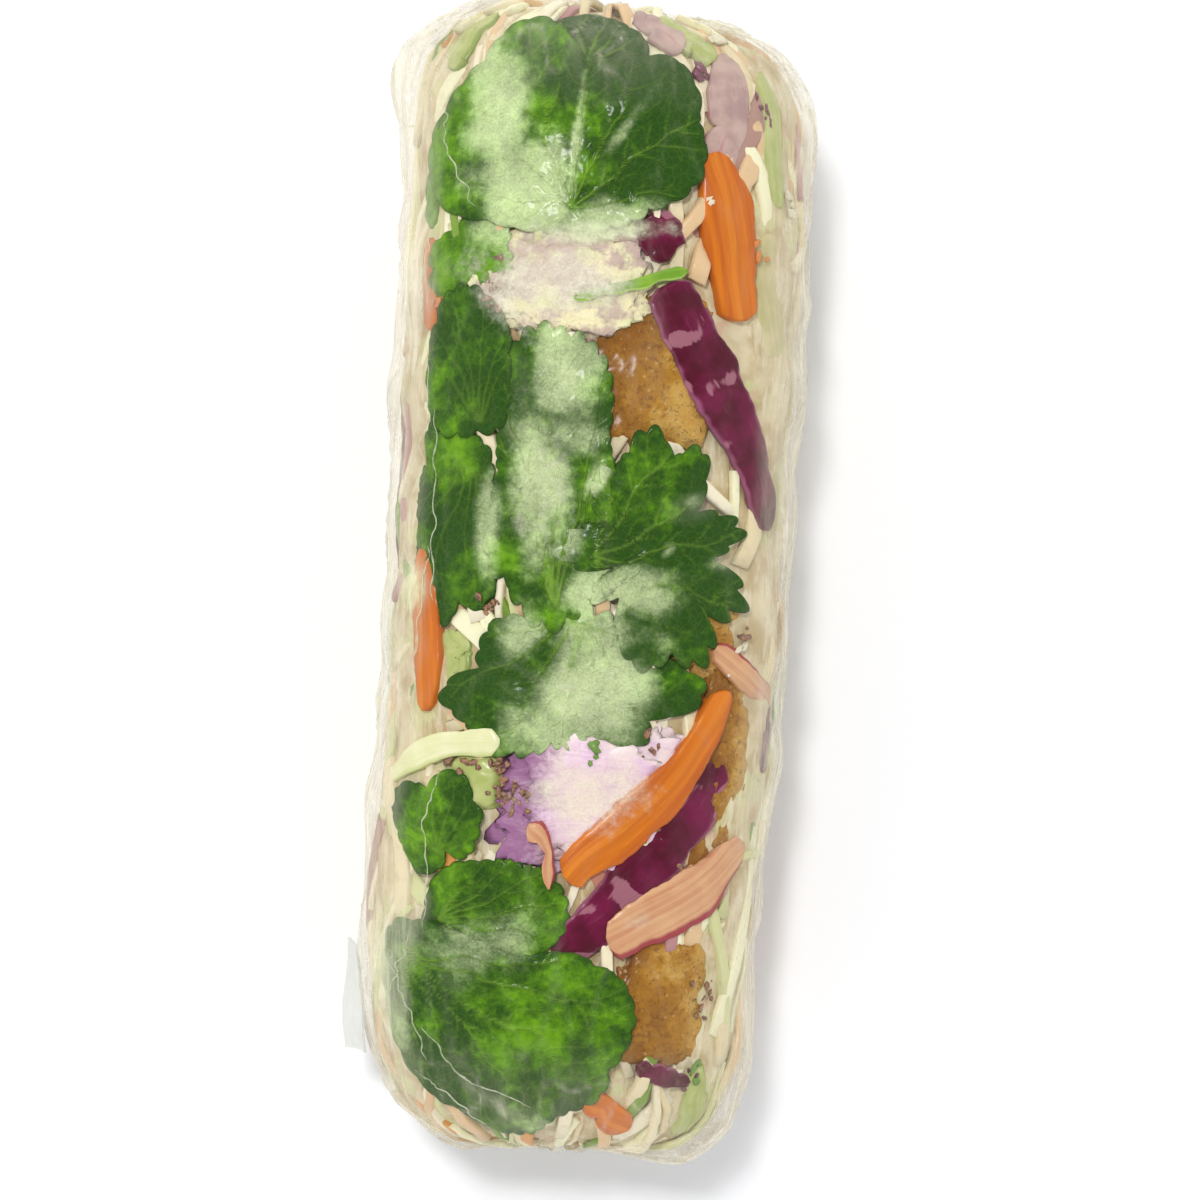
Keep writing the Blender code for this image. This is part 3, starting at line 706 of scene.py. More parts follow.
def fine_strip(name, material, slot, depth, thick, wave, widen, seed):
    """Stand-in for a packed strip. depth is that of its top face and thick its height, in mm.

    Its ends stay at least BLUNT of its width across, and ROUGH is how uneven it is, in mm.
    """
    line, width = strip_line(name)
    long = np.linalg.norm(np.diff(line, axis=0), axis=1).sum()
    bm = bmesh.new()
    bar(bm, max(16, int(long / CUT_EVERY)))
    bmesh.ops.subdivide_edges(bm, edges=running(bm, 0, 0.7), cuts=5, use_grid_fill=True)
    bm.verts.index_update()
    box = corners(bm)
    x, part, z = box[:, 0], box[:, 1], box[:, 2]
    part = np.clip(part, 0.0, 1.0)
    a, l = (smooth_line(values, part) for values in line.T)
    ahead, behind = np.clip(part + 0.02, 0, 1), np.clip(part - 0.02, 0, 1)
    da, dl = (smooth_line(values, ahead) - smooth_line(values, behind) for values in line.T)
    size = np.maximum(np.hypot(da, dl), 1e-9)
    half = smooth_line(width, part) / 2 * widen
    middle_half = np.interp(0.5, np.linspace(0, 1, len(width)), width) / 2
    end = np.minimum(part, 1.0 - part) * long
    half = np.maximum(half, BLUNT * middle_half) * np.clip((end / (0.8 * MM)) ** 0.5, 0.35, 1.0)
    tall = thick * MM / 2
    uneven = [noise.noise(Vector((p * long * 190, math.copysign(seed * 3.3, q), 5.0)))
              + 0.35 * noise.noise(Vector((p * long * 900, math.copysign(seed * 9.3, q), 8.0)))
              for q, p in zip(x, part)]
    half = half * (1.0 + 0.24 * np.array(uneven))
    curl = wave * MM * np.sin(part * long / WAVE_LONG * 2 * math.pi + seed) * x
    grain = [noise.noise(Vector((p * long * 260, q * 2.2, seed * 7.3 + r))) for q, p, r in box]
    a = a + x * half * dl / size
    l = l - x * half * da / size
    l = np.clip(l, -LONGEST + 2 * MM, LONGEST - 2 * MM)
    sink = depth * MM + tall - z * tall * (1.0 - 0.18 * x * x) + curl + np.array(grain) * ROUGH * MM
    add_uv(bm, np.stack([part * long / MM, x * half / MM], -1))
    move_points(bm, lay(a, l, sink))
    bmesh.ops.recalc_face_normals(bm, faces=bm.faces)
    return add_piece("fine_" + name, bm, material, (name,), attributes={"side": x})


# %% [markdown]
# ## Flesh and skins
#
# A cut vegetable isn't one colour. Carrot has pale fibres, red cabbage mauve patches
# and light edges, onion a red skin along one side. Each finish mixes a few tones by
# noise that the UV map stretches along the fibres, and by `side`, the place across the
# strip, which every corner of a strip keeps from -1 to 1.

# %% Finishes of the vegetables
JUICY = {"Coat_Weight": 0.2, "Coat_Roughness": 0.18, "Specular_IOR_Level": 0.15}
SILKY = {"Coat_Weight": 0.2, "Coat_Roughness": 0.2, "Specular_IOR_Level": 0.15}
MATT = {"Coat_Weight": 0.3, "Coat_Roughness": 0.3}


def carrot_finish():
    """Orange flesh with long pale fibres and a lighter, yellower core."""
    f = Finish("carrot")
    fibre = f.noise(1.0, 4.0, 0.6, f.stretched((0.16, 2.4, 1.0), f.uv()))
    streak = f.noise(1.0, 2.0, 0.5, f.stretched((0.05, 0.9, 1.0), f.uv()))
    side = f.attribute("side").positive()
    cloud = f.noise(0.004, 2.0)
    colour = f.mix(streak.step(0.30, 0.72), (0.47, 0.095, 0.004), (0.66, 0.180, 0.006))
    colour = f.mix(fibre.step(0.58, 0.74) * 0.4, colour, (0.76, 0.32, 0.03))
    colour = f.mix(side.step(0.55, 0.05) * 0.2, colour, (0.74, 0.27, 0.02))
    colour = f.mix(cloud.step(0.55, 0.85) * 0.45, colour, (0.48, 0.10, 0.008))
    return f.done(colour, 0.34 + fibre * 0.2, fibre + streak * 0.5, 0.00010, **JUICY)


def cabbage_finish():
    """Purple skin in clouds, with mauve patches and paler cut edges."""
    f = Finish("red_cabbage")
    vein = f.noise(1.0, 3.0, 0.55, f.stretched((0.22, 1.3, 1.0), f.uv()), 0.6)
    cloud = f.noise(0.0042, 3.0)
    mauve_spot = (f.noise(0.0048, 1.0, 0.3) + vein * 0.1).step(0.655, 0.675)
    side = f.attribute("side").positive()
    colour = f.mix(cloud.step(0.35, 0.7), (0.075, 0.001, 0.013), (0.160, 0.005, 0.045))
    colour = f.mix(vein.step(0.62, 0.76) * 0.22, colour, (0.27, 0.05, 0.12))
    colour = f.mix(mauve_spot * 0.7, colour, (0.40, 0.16, 0.20))
    colour = f.mix((side + cloud * 0.5).step(1.08, 1.30) * 0.6, colour, (0.38, 0.14, 0.22))
    return f.done(colour, 0.30 + vein * 0.15, vein + cloud, 0.00014,
                  Coat_Weight=0.15, Coat_Roughness=0.15, Specular_IOR_Level=0.10)


def lilac_finish():
    """A folded inner leaf: purple at its left edge, fading to lilac, white and cream."""
    f = Finish("lilac_cabbage")
    side, cloud = f.attribute("side"), f.noise(0.0038, 3.0, 0.65)
    grain = f.noise(0.0005, 3.0, 0.7)
    streak = f.noise(1.0, 3.0, 0.6, f.stretched((90.0, 420.0, 200.0)), 0.8)
    colour = f.mix(cloud.step(0.40, 0.66), (0.82, 0.66, 0.62), (0.74, 0.50, 0.64))
    colour = f.mix((side + cloud * 0.7 + grain * 0.5).step(0.38, -0.15), colour, (0.30, 0.11, 0.24))
    colour = f.mix(streak.step(0.60, 0.70) * 0.5, colour, (0.30, 0.08, 0.22))
    colour = f.mix((cloud + grain * 0.3).step(0.86, 0.98) * 0.7, colour, (0.70, 0.66, 0.36))
    return f.done(colour, 0.40, streak + cloud + grain * 0.4, 0.00022, **MATT)


def band_finish():
    """Pale cabbage rib: pinkish cream with grey mauve and yellow clouds and dark grain."""
    f = Finish("pale_rib")
    cloud, other = f.noise(0.0045, 3.0, 0.6), f.noise(0.0031, 3.0, 0.6, f.stretched((1.0, 1.0, 3.0)))
    grain = f.noise(0.00038, 3.0, 0.75)
    colour = f.mix(cloud.step(0.45, 0.57), (0.84, 0.76, 0.44), (0.52, 0.38, 0.30))
    colour = f.mix(other.step(0.52, 0.66) * 0.8, colour, (0.74, 0.74, 0.38))
    colour = f.mix((grain + cloud * 0.25).step(0.66, 0.80) * 0.7, colour, (0.36, 0.25, 0.17))
    return f.done(colour, 0.42 + grain * 0.1, grain * 0.6 + cloud, 0.0002, **MATT)


def pale_finish(name, light, deep, green):
    """Cream cabbage or juicy celery: light flesh, long ribs and a greener skin edge."""
    f = Finish(name)
    rib = f.noise(1.0, 3.0, 0.5, f.stretched((0.12, 1.5, 1.0), f.uv()), 0.3)
    cloud = f.noise(0.003, 3.0, 0.6)
    side = f.attribute("side")
    colour = f.mix((cloud * 0.7 + rib * 0.5).step(0.40, 0.80), light, deep)
    colour = f.mix((side + cloud * 0.4).step(0.75, 1.1) * 0.8, colour, green)
    return f.done(colour, 0.30 + cloud * 0.2, rib + cloud * 0.5, 0.00012, **JUICY)


def onion_finish():
    """Warm flesh in thin layers, with the red skin along one edge."""
    f = Finish("red_onion")
    layer = f.noise(1.0, 2.0, 0.5, f.stretched((0.05, 1.7, 1.0), f.uv()), 0.4)
    cloud = f.noise(0.004, 3.0)
    side = f.attribute("side")
    colour = f.mix((layer * 0.8 + cloud * 0.5).step(0.45, 0.85), (0.66, 0.38, 0.19), (0.54, 0.24, 0.12))
    colour = f.mix(layer.step(0.62, 0.74) * 0.35, colour, (0.44, 0.13, 0.09))
    colour = f.mix((side + cloud * 0.25).step(0.74, 0.92), colour, (0.33, 0.045, 0.050))
    return f.done(colour, 0.32 + cloud * 0.15, layer, 0.00010, **JUICY)


def mauve_finish():
    """Thin inner cabbage: grey mauve with pink threads and cream gaps."""
    f = Finish("mauve_cabbage")
    thread = f.noise(1.0, 3.0, 0.6, f.stretched((0.08, 1.6, 1.0), f.uv()), 0.5)
    cloud = f.noise(0.0035, 3.0, 0.6)
    colour = f.mix(cloud.step(0.35, 0.65), (0.52, 0.36, 0.30), (0.38, 0.24, 0.22))
    colour = f.mix(thread.step(0.58, 0.70) * 0.7, colour, (0.46, 0.14, 0.18))
    colour = f.mix((thread + cloud * 0.4).step(0.56, 0.40) * 0.5, colour, (0.70, 0.60, 0.44))
    return f.done(colour, 0.36 + cloud * 0.15, thread + cloud, 0.00014, **SILKY)


def tofu_finish():
    """Fried tofu: brown, grainy crust towards one side, a golden and paler face."""
    f = Finish("fried_tofu")
    side = f.attribute("side")
    crust = f.noise(0.0046, 4.0, 0.62)
    grain = f.noise(0.00062, 4.0, 0.72)
    pit = f.cells(0.0010)
    gold = (crust * 1.3 + side * 0.38 - 0.10).step(0.22, 0.80)
    colour = f.mix(gold, (0.26, 0.098, 0.007), (0.47, 0.225, 0.020))
    pale = (gold * 0.7 + grain * 0.4 + crust * 0.3).step(0.86, 1.22)
    colour = f.mix(pale * 0.8, colour, (0.64, 0.42, 0.12))
    colour = f.mix(grain.step(0.52, 0.62) * 0.62, colour, (0.17, 0.052, 0.004))
    colour = f.mix(pit.step(0.22, 0.04) * 0.35, colour, (0.74, 0.54, 0.22))
    return f.done(colour, 0.42 + grain * 0.2, grain + crust + pit * 0.3, 0.0003, **SILKY)


carrot = carrot_finish()
red_cabbage = cabbage_finish()
lilac_cabbage = lilac_finish()
pale_rib = band_finish()
pale_cabbage = pale_finish("pale_cabbage", (0.78, 0.76, 0.46), (0.68, 0.68, 0.34), (0.56, 0.60, 0.22))
celery = pale_finish("celery", (0.50, 0.52, 0.20), (0.34, 0.40, 0.10), (0.20, 0.28, 0.05))
cucumber = pale_finish("cucumber", (0.60, 0.52, 0.28), (0.46, 0.42, 0.18), (0.22, 0.34, 0.07))
onion = onion_finish()
mauve = mauve_finish()
stem_green = pale_finish("herb_stem", (0.24, 0.42, 0.03), (0.14, 0.30, 0.02), (0.40, 0.55, 0.12))
tofu = tofu_finish()

# %% Lay the strips
STRIPS = {
    # node: finish, slot, depth of the top, thickness, wave, widen
    "carrot_right": (carrot, "carrot", 0.6, 1.8, 0.0, 1.25),
    "carrot_upper_left": (carrot, "carrot", 0.9, 1.6, 0.0, 1.1),
    "carrot_middle_left": (carrot, "carrot", 0.7, 1.7, 0.0, 1.05),
    "carrot_curved": (carrot, "carrot", 0.4, 1.8, 0.0, 1.1),
    "carrot_bottom": (carrot, "carrot", 0.9, 1.6, 0.0, 1.0),
    "carrot_under": (carrot, "carrot", 0.7, 1.8, 0.0, 1.0),
    "carrot_right_side": (carrot, "carrot", 0.7, 1.8, 0.0, 1.0),
    "cabbage_long": (red_cabbage, "red_cabbage", 0.45, 0.9, 0.16, 1.38),
    "cabbage_top": (red_cabbage, "red_cabbage", 0.9, 0.9, 0.1, 1.2),
    "cabbage_curved": (red_cabbage, "red_cabbage", 1.0, 1.0, 0.25, 1.25),
    "cabbage_small": (red_cabbage, "red_cabbage", 0.6, 0.9, 0.1, 1.1),
    "cabbage_side": (red_cabbage, "red_cabbage", 0.7, 0.9, 0.1, 1.0),
    "cabbage_under": (red_cabbage, "red_cabbage", 0.7, 0.9, 0.2, 1.0),
    "cabbage_left_side": (red_cabbage, "red_cabbage", 0.8, 0.9, 0.2, 1.0),
    "onion_slice": (onion, "onion", 0.7, 1.3, 0.1, 1.1),
    "onion_middle": (onion, "onion", 0.8, 1.2, 0.1, 1.0),
    "onion_top": (mauve, "onion", 0.9, 1.2, 0.1, 1.3),
    "onion_corner": (mauve, "onion", 0.9, 1.2, 0.1, 1.35),
    "onion_curl": (onion, "onion", 0.4, 0.6, 0.0, 1.0),
    "celery_top": (celery, "cucumber", 0.9, 1.8, 0.0, 1.1),
    "celery_upper_right": (celery, "cucumber", 1.0, 1.8, 0.0, 0.9),
    "celery_upper_left": (celery, "cucumber", 0.8, 1.8, 0.0, 1.2),
    "cucumber_right": (cucumber, "cucumber", 1.1, 3.4, 0.0, 1.15),
    "celery_bottom": (celery, "cucumber", 0.8, 2.2, 0.0, 1.1),
    "celery_left": (celery, "cucumber", 1.6, 2.6, 0.0, 1.0),
    "onion_pale_arc": (pale_cabbage, "white_cabbage", 0.5, 1.2, 0.05, 1.05),
    "herb_stem": (stem_green, "herb", 0.10, 0.8, 0.0, 1.5),
}
for seed, (node, row) in enumerate(STRIPS.items()):
    fine_strip(node, *row, seed + 0.5)
print("strips:", len(STRIPS))


# %% [markdown]
# ## Torn pieces
#
# The fried tofu and a few thick bits of cucumber aren't strips but uneven lumps. A
# rounded cube, divided finely and pushed about by noise, has their broken faces.

# %% Lumps
LUMP_CUTS = 22
ROUNDNESS = 3.4


def lump_piece(name, material, slot, depth, thick, rough, widen, seed):
    """A lump between a ball and a cube: 2 would be a ball for ROUNDNESS, and 9 nearly a cube."""
    around, along, _ = unwrapped(name)
    bm = bmesh.new()
    bmesh.ops.create_cube(bm, size=2.0)
    bmesh.ops.subdivide_edges(bm, edges=bm.edges, cuts=LUMP_CUTS, use_grid_fill=True)
    box = corners(bm)
    size = (np.abs(box) ** ROUNDNESS).sum(1) ** (1 / ROUNDNESS)
    box = box / np.maximum(size, 1e-6)[:, None]
    push = np.array([noise.fractal(Vector(p * 1.6) + Vector((seed, 0, 0)), 0.6, 2.1, 4) for p in box])
    box = box * (1.0 + rough * push)[:, None]
    a = (around.max() + around.min()) / 2 + box[:, 0] * (around.max() - around.min()) / 2 * widen
    l = (along.max() + along.min()) / 2 + box[:, 1] * (along.max() - along.min()) / 2 * widen
    sink = (depth + thick / 2 - box[:, 2] * thick / 2) * MM
    move_points(bm, lay(a, l, sink))
    bmesh.ops.recalc_face_normals(bm, faces=bm.faces)
    return add_piece("fine_" + name, bm, material, (name,), attributes={"side": box[:, 0]})


LUMPS = {
    # node: finish, slot, depth of the top, thickness, roughness, widen
    "tofu_upper": (tofu, "tofu", 1.0, 5.0, 0.16, 1.16),
    "tofu_middle": (tofu, "tofu", 1.2, 5.0, 0.16, 1.20),
    "tofu_right": (tofu, "tofu", 1.2, 4.4, 0.20, 1.5),
    "tofu_lower": (tofu, "tofu", 0.9, 5.0, 0.16, 1.16),
    "cucumber_left": (celery, "cucumber", 0.9, 3.0, 0.06, 1.05),
    "cabbage_pale_folded": (lilac_cabbage, "lilac_cabbage", 0.9, 1.4, 0.32, 1.34),
    "cabbage_pale_band": (pale_rib, "white_cabbage", 0.8, 1.4, 0.26, 1.22),
}
for seed, (node, row) in enumerate(LUMPS.items()):
    lump_piece(node, *row, seed * 3.7)
print("lumps:", len(LUMPS))

# %% [markdown]
# ## Crumbs and bits
#
# Cutting leaves crumbs: brown bits of tofu crust, shreds of purple skin, chips of
# cream and green. Each is a small rough ball, drawn out a little, and all of them are
# one mesh. Their places are parts of the box of a piece that they lie beside.

# %% Small bits
def bits_finish():
    """One colour for each kind of bit: brown, purple, cream, green, orange."""
    f = Finish("bits")
    kind, grain = f.attribute("kind"), f.noise(0.0006, 3.0, 0.7)
    colour = f.mix(grain.step(0.35, 0.65), (0.10, 0.035, 0.015), (0.36, 0.17, 0.07))
    tints = (0.15, 0.01, 0.05), (0.74, 0.66, 0.46), (0.13, 0.26, 0.02), (0.62, 0.20, 0.02)
    for number, tint in enumerate(tints):
        colour = f.mix(kind.step(number + 0.4, number + 0.6), colour, tint)
    return f.done(colour, 0.4, grain, 0.0002, Coat_Weight=0.4, Coat_Roughness=0.25)


BROWN, PURPLE, CREAM, GREEN, ORANGE = range(5)
BITS = [
    # beside which piece, part around, part along, spread and size in mm, how many, kind
    ("leaf_left_shoulder", 1.00, 0.15, 2.0, 0.9, 16, BROWN),
    ("leaf_left_shoulder", 0.80, 0.02, 1.2, 0.7, 6, BROWN),
    ("leaf_second_low", 0.95, 0.02, 1.3, 0.7, 8, BROWN),
    ("cucumber_left", 1.20, 0.30, 2.0, 0.62, 40, BROWN),
    ("cucumber_left", 1.05, 0.85, 1.2, 0.7, 10, BROWN),
    ("cucumber_left", 0.35, 0.80, 1.6, 0.8, 8, BROWN),
    ("leaf_fourth", 0.90, 0.04, 2.4, 0.7, 6, BROWN),
    ("onion_slice", 0.30, 0.90, 3.0, 0.5, 5, BROWN),
    ("leaf_third", 1.02, 0.14, 1.2, 0.7, 4, BROWN),
    ("tofu_lower", 0.95, 0.55, 3.0, 0.6, 16, BROWN),
    ("cabbage_side", 0.50, 0.45, 1.5, 0.8, 5, PURPLE),
    ("celery_upper_right", 0.10, 0.70, 1.6, 0.7, 6, PURPLE),
    ("leaf_top", 1.00, 0.75, 1.0, 1.1, 4, PURPLE),
    ("celery_bottom", 0.20, 0.75, 2.2, 0.5, 8, PURPLE),
    ("celery_top", 1.15, 0.45, 1.0, 1.3, 4, CREAM),
    ("carrot_right", 0.12, 0.72, 0.8, 1.2, 3, CREAM),
    ("celery_upper_right", 1.10, 0.05, 1.6, 1.3, 5, CREAM),
    ("onion_middle", 0.25, 0.80, 2.0, 0.7, 5, CREAM),
    ("celery_bottom", 0.35, 0.95, 1.6, 0.9, 6, GREEN),
    ("leaf_fourth", 0.64, 0.02, 1.2, 1.0, 7, GREEN),
    ("carrot_right", 0.98, 0.40, 2.2, 0.7, 8, ORANGE),
    ("carrot_upper_left", 0.80, 0.30, 1.4, 0.8, 6, ORANGE),
]


def add_bits():
    """All the bits as one mesh, each with the number of its kind on its corners."""
    dice = random.Random(11)
    bm = bmesh.new()
    kinds = []
    for node, part_around, part_along, spread, size, count, kind in BITS:
        for _ in range(count):
            a, l = spot_on(node, part_around, part_along)
            a += dice.gauss(0.0, 0.5 * spread) * MM
            l += dice.gauss(0.0, 0.5 * spread) * MM
            turn, stretch = dice.uniform(0.0, math.pi), dice.uniform(1.0, 2.2)
            half = size * dice.uniform(0.18, 0.55) * MM
            deep = dice.uniform(0.6, 1.3) * MM
            seed = Vector((dice.uniform(0.0, 90.0), 0.0, 0.0))
            made = bmesh.ops.create_icosphere(bm, subdivisions=2, radius=1.0)["verts"]
            ball = np.array([vert.co * (1.0 + 0.6 * noise.noise(vert.co * 1.7 + seed)) for vert in made])
            x, y = ball[:, 0] * half * stretch, ball[:, 1] * half
            places = lay(a + x * math.cos(turn) - y * math.sin(turn),
                         l + x * math.sin(turn) + y * math.cos(turn), deep - ball[:, 2] * 0.6 * half)
            for vert, place in zip(made, places):
                vert.co = place
            kinds += [float(kind)] * len(made)
    bmesh.ops.recalc_face_normals(bm, faces=bm.faces)
    return add_piece("bits", bm, bits_finish(), ("shredded_filling",),
                     attributes={"kind": kinds})


bits = add_bits()
print("bits:", len(bits.data.polygons), "faces")

# %% [markdown]
# ## The shredded heart
#
# Rice noodles and pale shreds fill whatever the big pieces leave free. The packed
# model holds them as one solid. Here a smaller, plain core fills the middle, and
# hundreds of real shreds lie round it, each a short bent bar with few faces. A shred
# that would lie over a big piece is sunk until it passes under it.

# %% How high the filling stands
def filling_tree(objects):
    """A tree for casting rays at the objects, with their modifiers."""
    graph = bpy.context.evaluated_depsgraph_get()
    points, faces = [], []
    for item in objects:
        mesh = item.evaluated_get(graph).to_mesh()
        base = len(points)
        points += [vert.co.copy() for vert in mesh.vertices]
        faces += [[base + i for i in face.vertices] for face in mesh.polygons]
    return BVHTree.FromPolygons(points, faces)


# These rays start this far out from the line, in metres.
OUTSIDE = 0.06


def heights(tree, around, along):
    """How far the outermost surface stands from the line at each place, 0 where none."""
    found = np.zeros(np.size(around))
    for index, (start, way) in enumerate(zip(*rays(np.ravel(around), np.ravel(along)))):
        distance = tree.ray_cast(Vector(start + way * OUTSIDE), Vector(-way), OUTSIDE)[3]
        found[index] = OUTSIDE - distance if distance is not None else 0.0
    return found.reshape(np.shape(around))


# %% Shreds and core
def shred_finish():
    """Glassy cream noodles, with a few shreds of carrot, cabbage, onion and green."""
    f = Finish("shreds")
    kind = f.attribute("kind")
    grain = f.noise(0.0012, 3.0)
    colour = f.mix(kind.step(0.0, 0.4), (0.84, 0.76, 0.55), (0.72, 0.60, 0.35))
    for start, tint in (
            (0.40, (0.84, 0.80, 0.52)), (0.60, (0.62, 0.62, 0.30)), (0.72, (0.70, 0.48, 0.26)),
            (0.84, (0.66, 0.28, 0.05)), (0.90, (0.46, 0.22, 0.22)), (0.95, (0.18, 0.30, 0.03))):
        colour = f.mix(kind.step(start, start + 0.01), colour, tint)
    colour = f.mix(grain.step(0.55, 0.75) * 0.3, colour, (0.42, 0.34, 0.20))
    return f.done(colour, 0.35, grain, 0.0001, **SILKY)


def core_finish():
    """Packed noodles and finely cut cabbage: cream, with tan, pink and green places."""
    f = Finish("core")
    cloud, other, third = f.noise(0.004, 4.0), f.noise(0.0061, 3.0), f.noise(0.0032, 3.0)
    strand = f.noise(1.0, 3.0, 0.6, f.stretched((900.0, 160.0, 900.0)), 0.6)
    colour = f.mix(cloud.step(0.38, 0.62), (0.66, 0.56, 0.34), (0.48, 0.36, 0.17))
    colour = f.mix(other.step(0.56, 0.66) * 0.7, colour, (0.60, 0.62, 0.28))
    colour = f.mix(third.step(0.60, 0.68) * 0.6, colour, (0.64, 0.38, 0.26))
    colour = f.mix(strand.step(0.50, 0.66) * 0.5, colour, (0.82, 0.75, 0.55))
    return f.done(colour, 0.45, cloud + strand, 0.0004)


SHREDS = 620
CORE_DEEP = 1.95
CORE_UNEVEN = 0.7
CORE_SIDES_OUT = 0.9


def add_shreds(count, tree):
    """Bent bars with few faces; each is sunk under whatever the tree has over it."""
    dice = random.Random(7)
    bm = bmesh.new()
    kinds = []
    for _ in range(count):
        made = bmesh.new()
        bar(made, 9, 0.5)
        box = corners(made)
        long = dice.uniform(10, 34) * MM
        half = dice.uniform(0.4, 1.4) * MM
        thick = dice.uniform(0.30, 0.6) * MM
        a0 = dice.uniform(-math.pi, math.pi) * ROUND
        l0 = dice.uniform(-LONGEST * 0.95, LONGEST * 0.95)
        turn = dice.gauss(0.0, 0.40)
        bend = dice.uniform(-0.9, 0.9)
        deep = dice.uniform(0.9, 2.1) * MM
        roll = dice.uniform(0, 6.28)
        part = box[:, 1] - 0.5
        way = turn + bend * part
        a = a0 + part * long * np.sin(way) + box[:, 0] * half * np.cos(way)
        l = l0 + part * long * np.cos(way) - box[:, 0] * half * np.sin(way)
        l = np.clip(l, -LONGEST + 3 * MM, LONGEST - 3 * MM)
        under = look_up(skin_table, a, l) - heights(tree, a, l)
        sink = np.where(under < 3.5 * MM, np.maximum(deep, under + 1.0 * MM), deep)
        sink = np.maximum(sink, smooth_peaks(part, sink))
        wave = 0.35 * MM * np.sin(part * 6 + roll)
        move_points(made, lay(a, l, sink + wave - box[:, 2] * thick))
        join_in(bm, made)
        kinds += [dice.random()] * len(box)
    bmesh.ops.recalc_face_normals(bm, faces=bm.faces)
    return add_piece("shreds", bm, shred_finish(), ("shredded_filling",),
                     attributes={"kind": kinds})


def smooth_peaks(part, sink):
    """Each place as deep as its deepest neighbours, less a little for their distance."""
    far = np.abs(part[:, None] - part[None, :])
    return (sink[None, :] - 5.0 * MM * far).max(axis=1)


def add_core():
    """The plain middle, CORE_DEEP mm under the skin on average, and less at the flanks."""
    bm = bmesh.new()
    bmesh.ops.create_uvsphere(bm, u_segments=108, v_segments=150, radius=1.0)
    ball = corners(bm)
    around = np.arctan2(ball[:, 1], ball[:, 0]) * ROUND
    along = -LONGEST * (1.0 - 2.0 * np.arccos(np.clip(ball[:, 2], -1, 1)) / math.pi)
    swell = [noise.noise(Vector((a * 180, l * 120, 3.0))) for a, l in zip(around, along)]
    deep = CORE_DEEP + CORE_UNEVEN * np.array(swell)
    deep = deep - CORE_SIDES_OUT * np.clip((np.abs(np.sin(around / ROUND)) - 0.70) / 0.20, 0.0, 1.0)
    move_points(bm, lay(around, along, deep * MM))
    bmesh.ops.recalc_face_normals(bm, faces=bm.faces)
    return add_piece("core", bm, core_finish(), ("shredded_filling",))


shreds = add_shreds(SHREDS, filling_tree(pieces))
core = add_core()
print("shreds:", len(shreds.data.polygons), "faces, core:", len(core.data.polygons), "faces")

# %% [markdown]
# ## The rice paper
#
# Wet rice paper clings to whatever is under it and bridges the gaps like a tent. To
# find that shape, rays from outside measure how high the filling stands at every
# point; then a sheet laid over it is smoothed again and again, but never let below the
# filling. What is left between the two is the gap, and the paper is milky there.

# %% Height of the filling under the paper
FILM_ROUND = 270
FILM_LONG = 350
film_ring = np.arange(FILM_ROUND) / FILM_ROUND * TURN
film_run = np.linspace(-LONGEST, LONGEST, FILM_LONG + 1)
film_around, film_along = np.meshgrid(film_ring, film_run, indexing="ij")
touch = heights(filling_tree(pieces), film_around, film_along)
touch = np.maximum.reduce([np.roll(touch, step, 0) for step in (-1, 0, 1)])
skin = look_up(skin_table, film_around, film_along)
below = (skin - touch) / MM
print(f"filling stands {below.min():.2f} to {np.median(below):.2f} mm under the skin")

# %% Let the paper down on it
CLING = 0.10 * MM
PULLS = 60
# Over a gap the sheet sinks at most 1.5 mm under the skin, and at the flanks it stays on it.
flank = np.clip((np.abs(np.sin(film_around / ROUND)) - 0.55) / 0.30, 0.0, 1.0)
floor_under = skin - (1.5 - 1.6 * flank) * MM
height = np.maximum(skin - 0.1 * MM, touch + CLING)
for _ in range(PULLS):
    height = np.maximum(touch + CLING, blur(height, 1) - 0.035 * MM)
    height = np.maximum(height, floor_under)
height = np.minimum(blur(height, 2), skin + 0.35 * MM)
height = np.maximum(height, touch + 0.05 * MM)
gap = blur(height - touch, 2)
print(f"the paper clings over {100 * (gap < 0.3 * MM).mean():.0f} % of the filling")


# %% [markdown]
# ## Folds, milky patches and painted sheen
#
# The sheet is folded at the ends and creased along the flanks, and there it is double
# and milky. Folds lift its mesh, and the same numbers make it whiter. Frost and veils
# are soft patches again, each named by the piece that it lies over. The frost is partly
# milky paper and partly painted sheen, the lamp's broad highlight along the roll.

# %% Noise over the sheet
def film_noise(size, seed, stretch=1.0):
    """Smooth noise over the sheet; it is read on a ring, so it closes round the roll."""
    values = np.zeros(film_around.shape)
    for i in range(FILM_ROUND):
        phi = film_ring[i] / ROUND
        x, z = ROUND * math.sin(phi), ROUND * math.cos(phi)
        for j in range(FILM_LONG + 1):
            values[i, j] = noise.noise(Vector((x / size, film_run[j] / size / stretch, z / size + seed)))
    return values


def ridges(size, seed, sharp, stretch=1.0):
    """Thin crease lines where a noise crosses zero."""
    return np.exp(-(film_noise(size, seed, stretch) / sharp) ** 2)


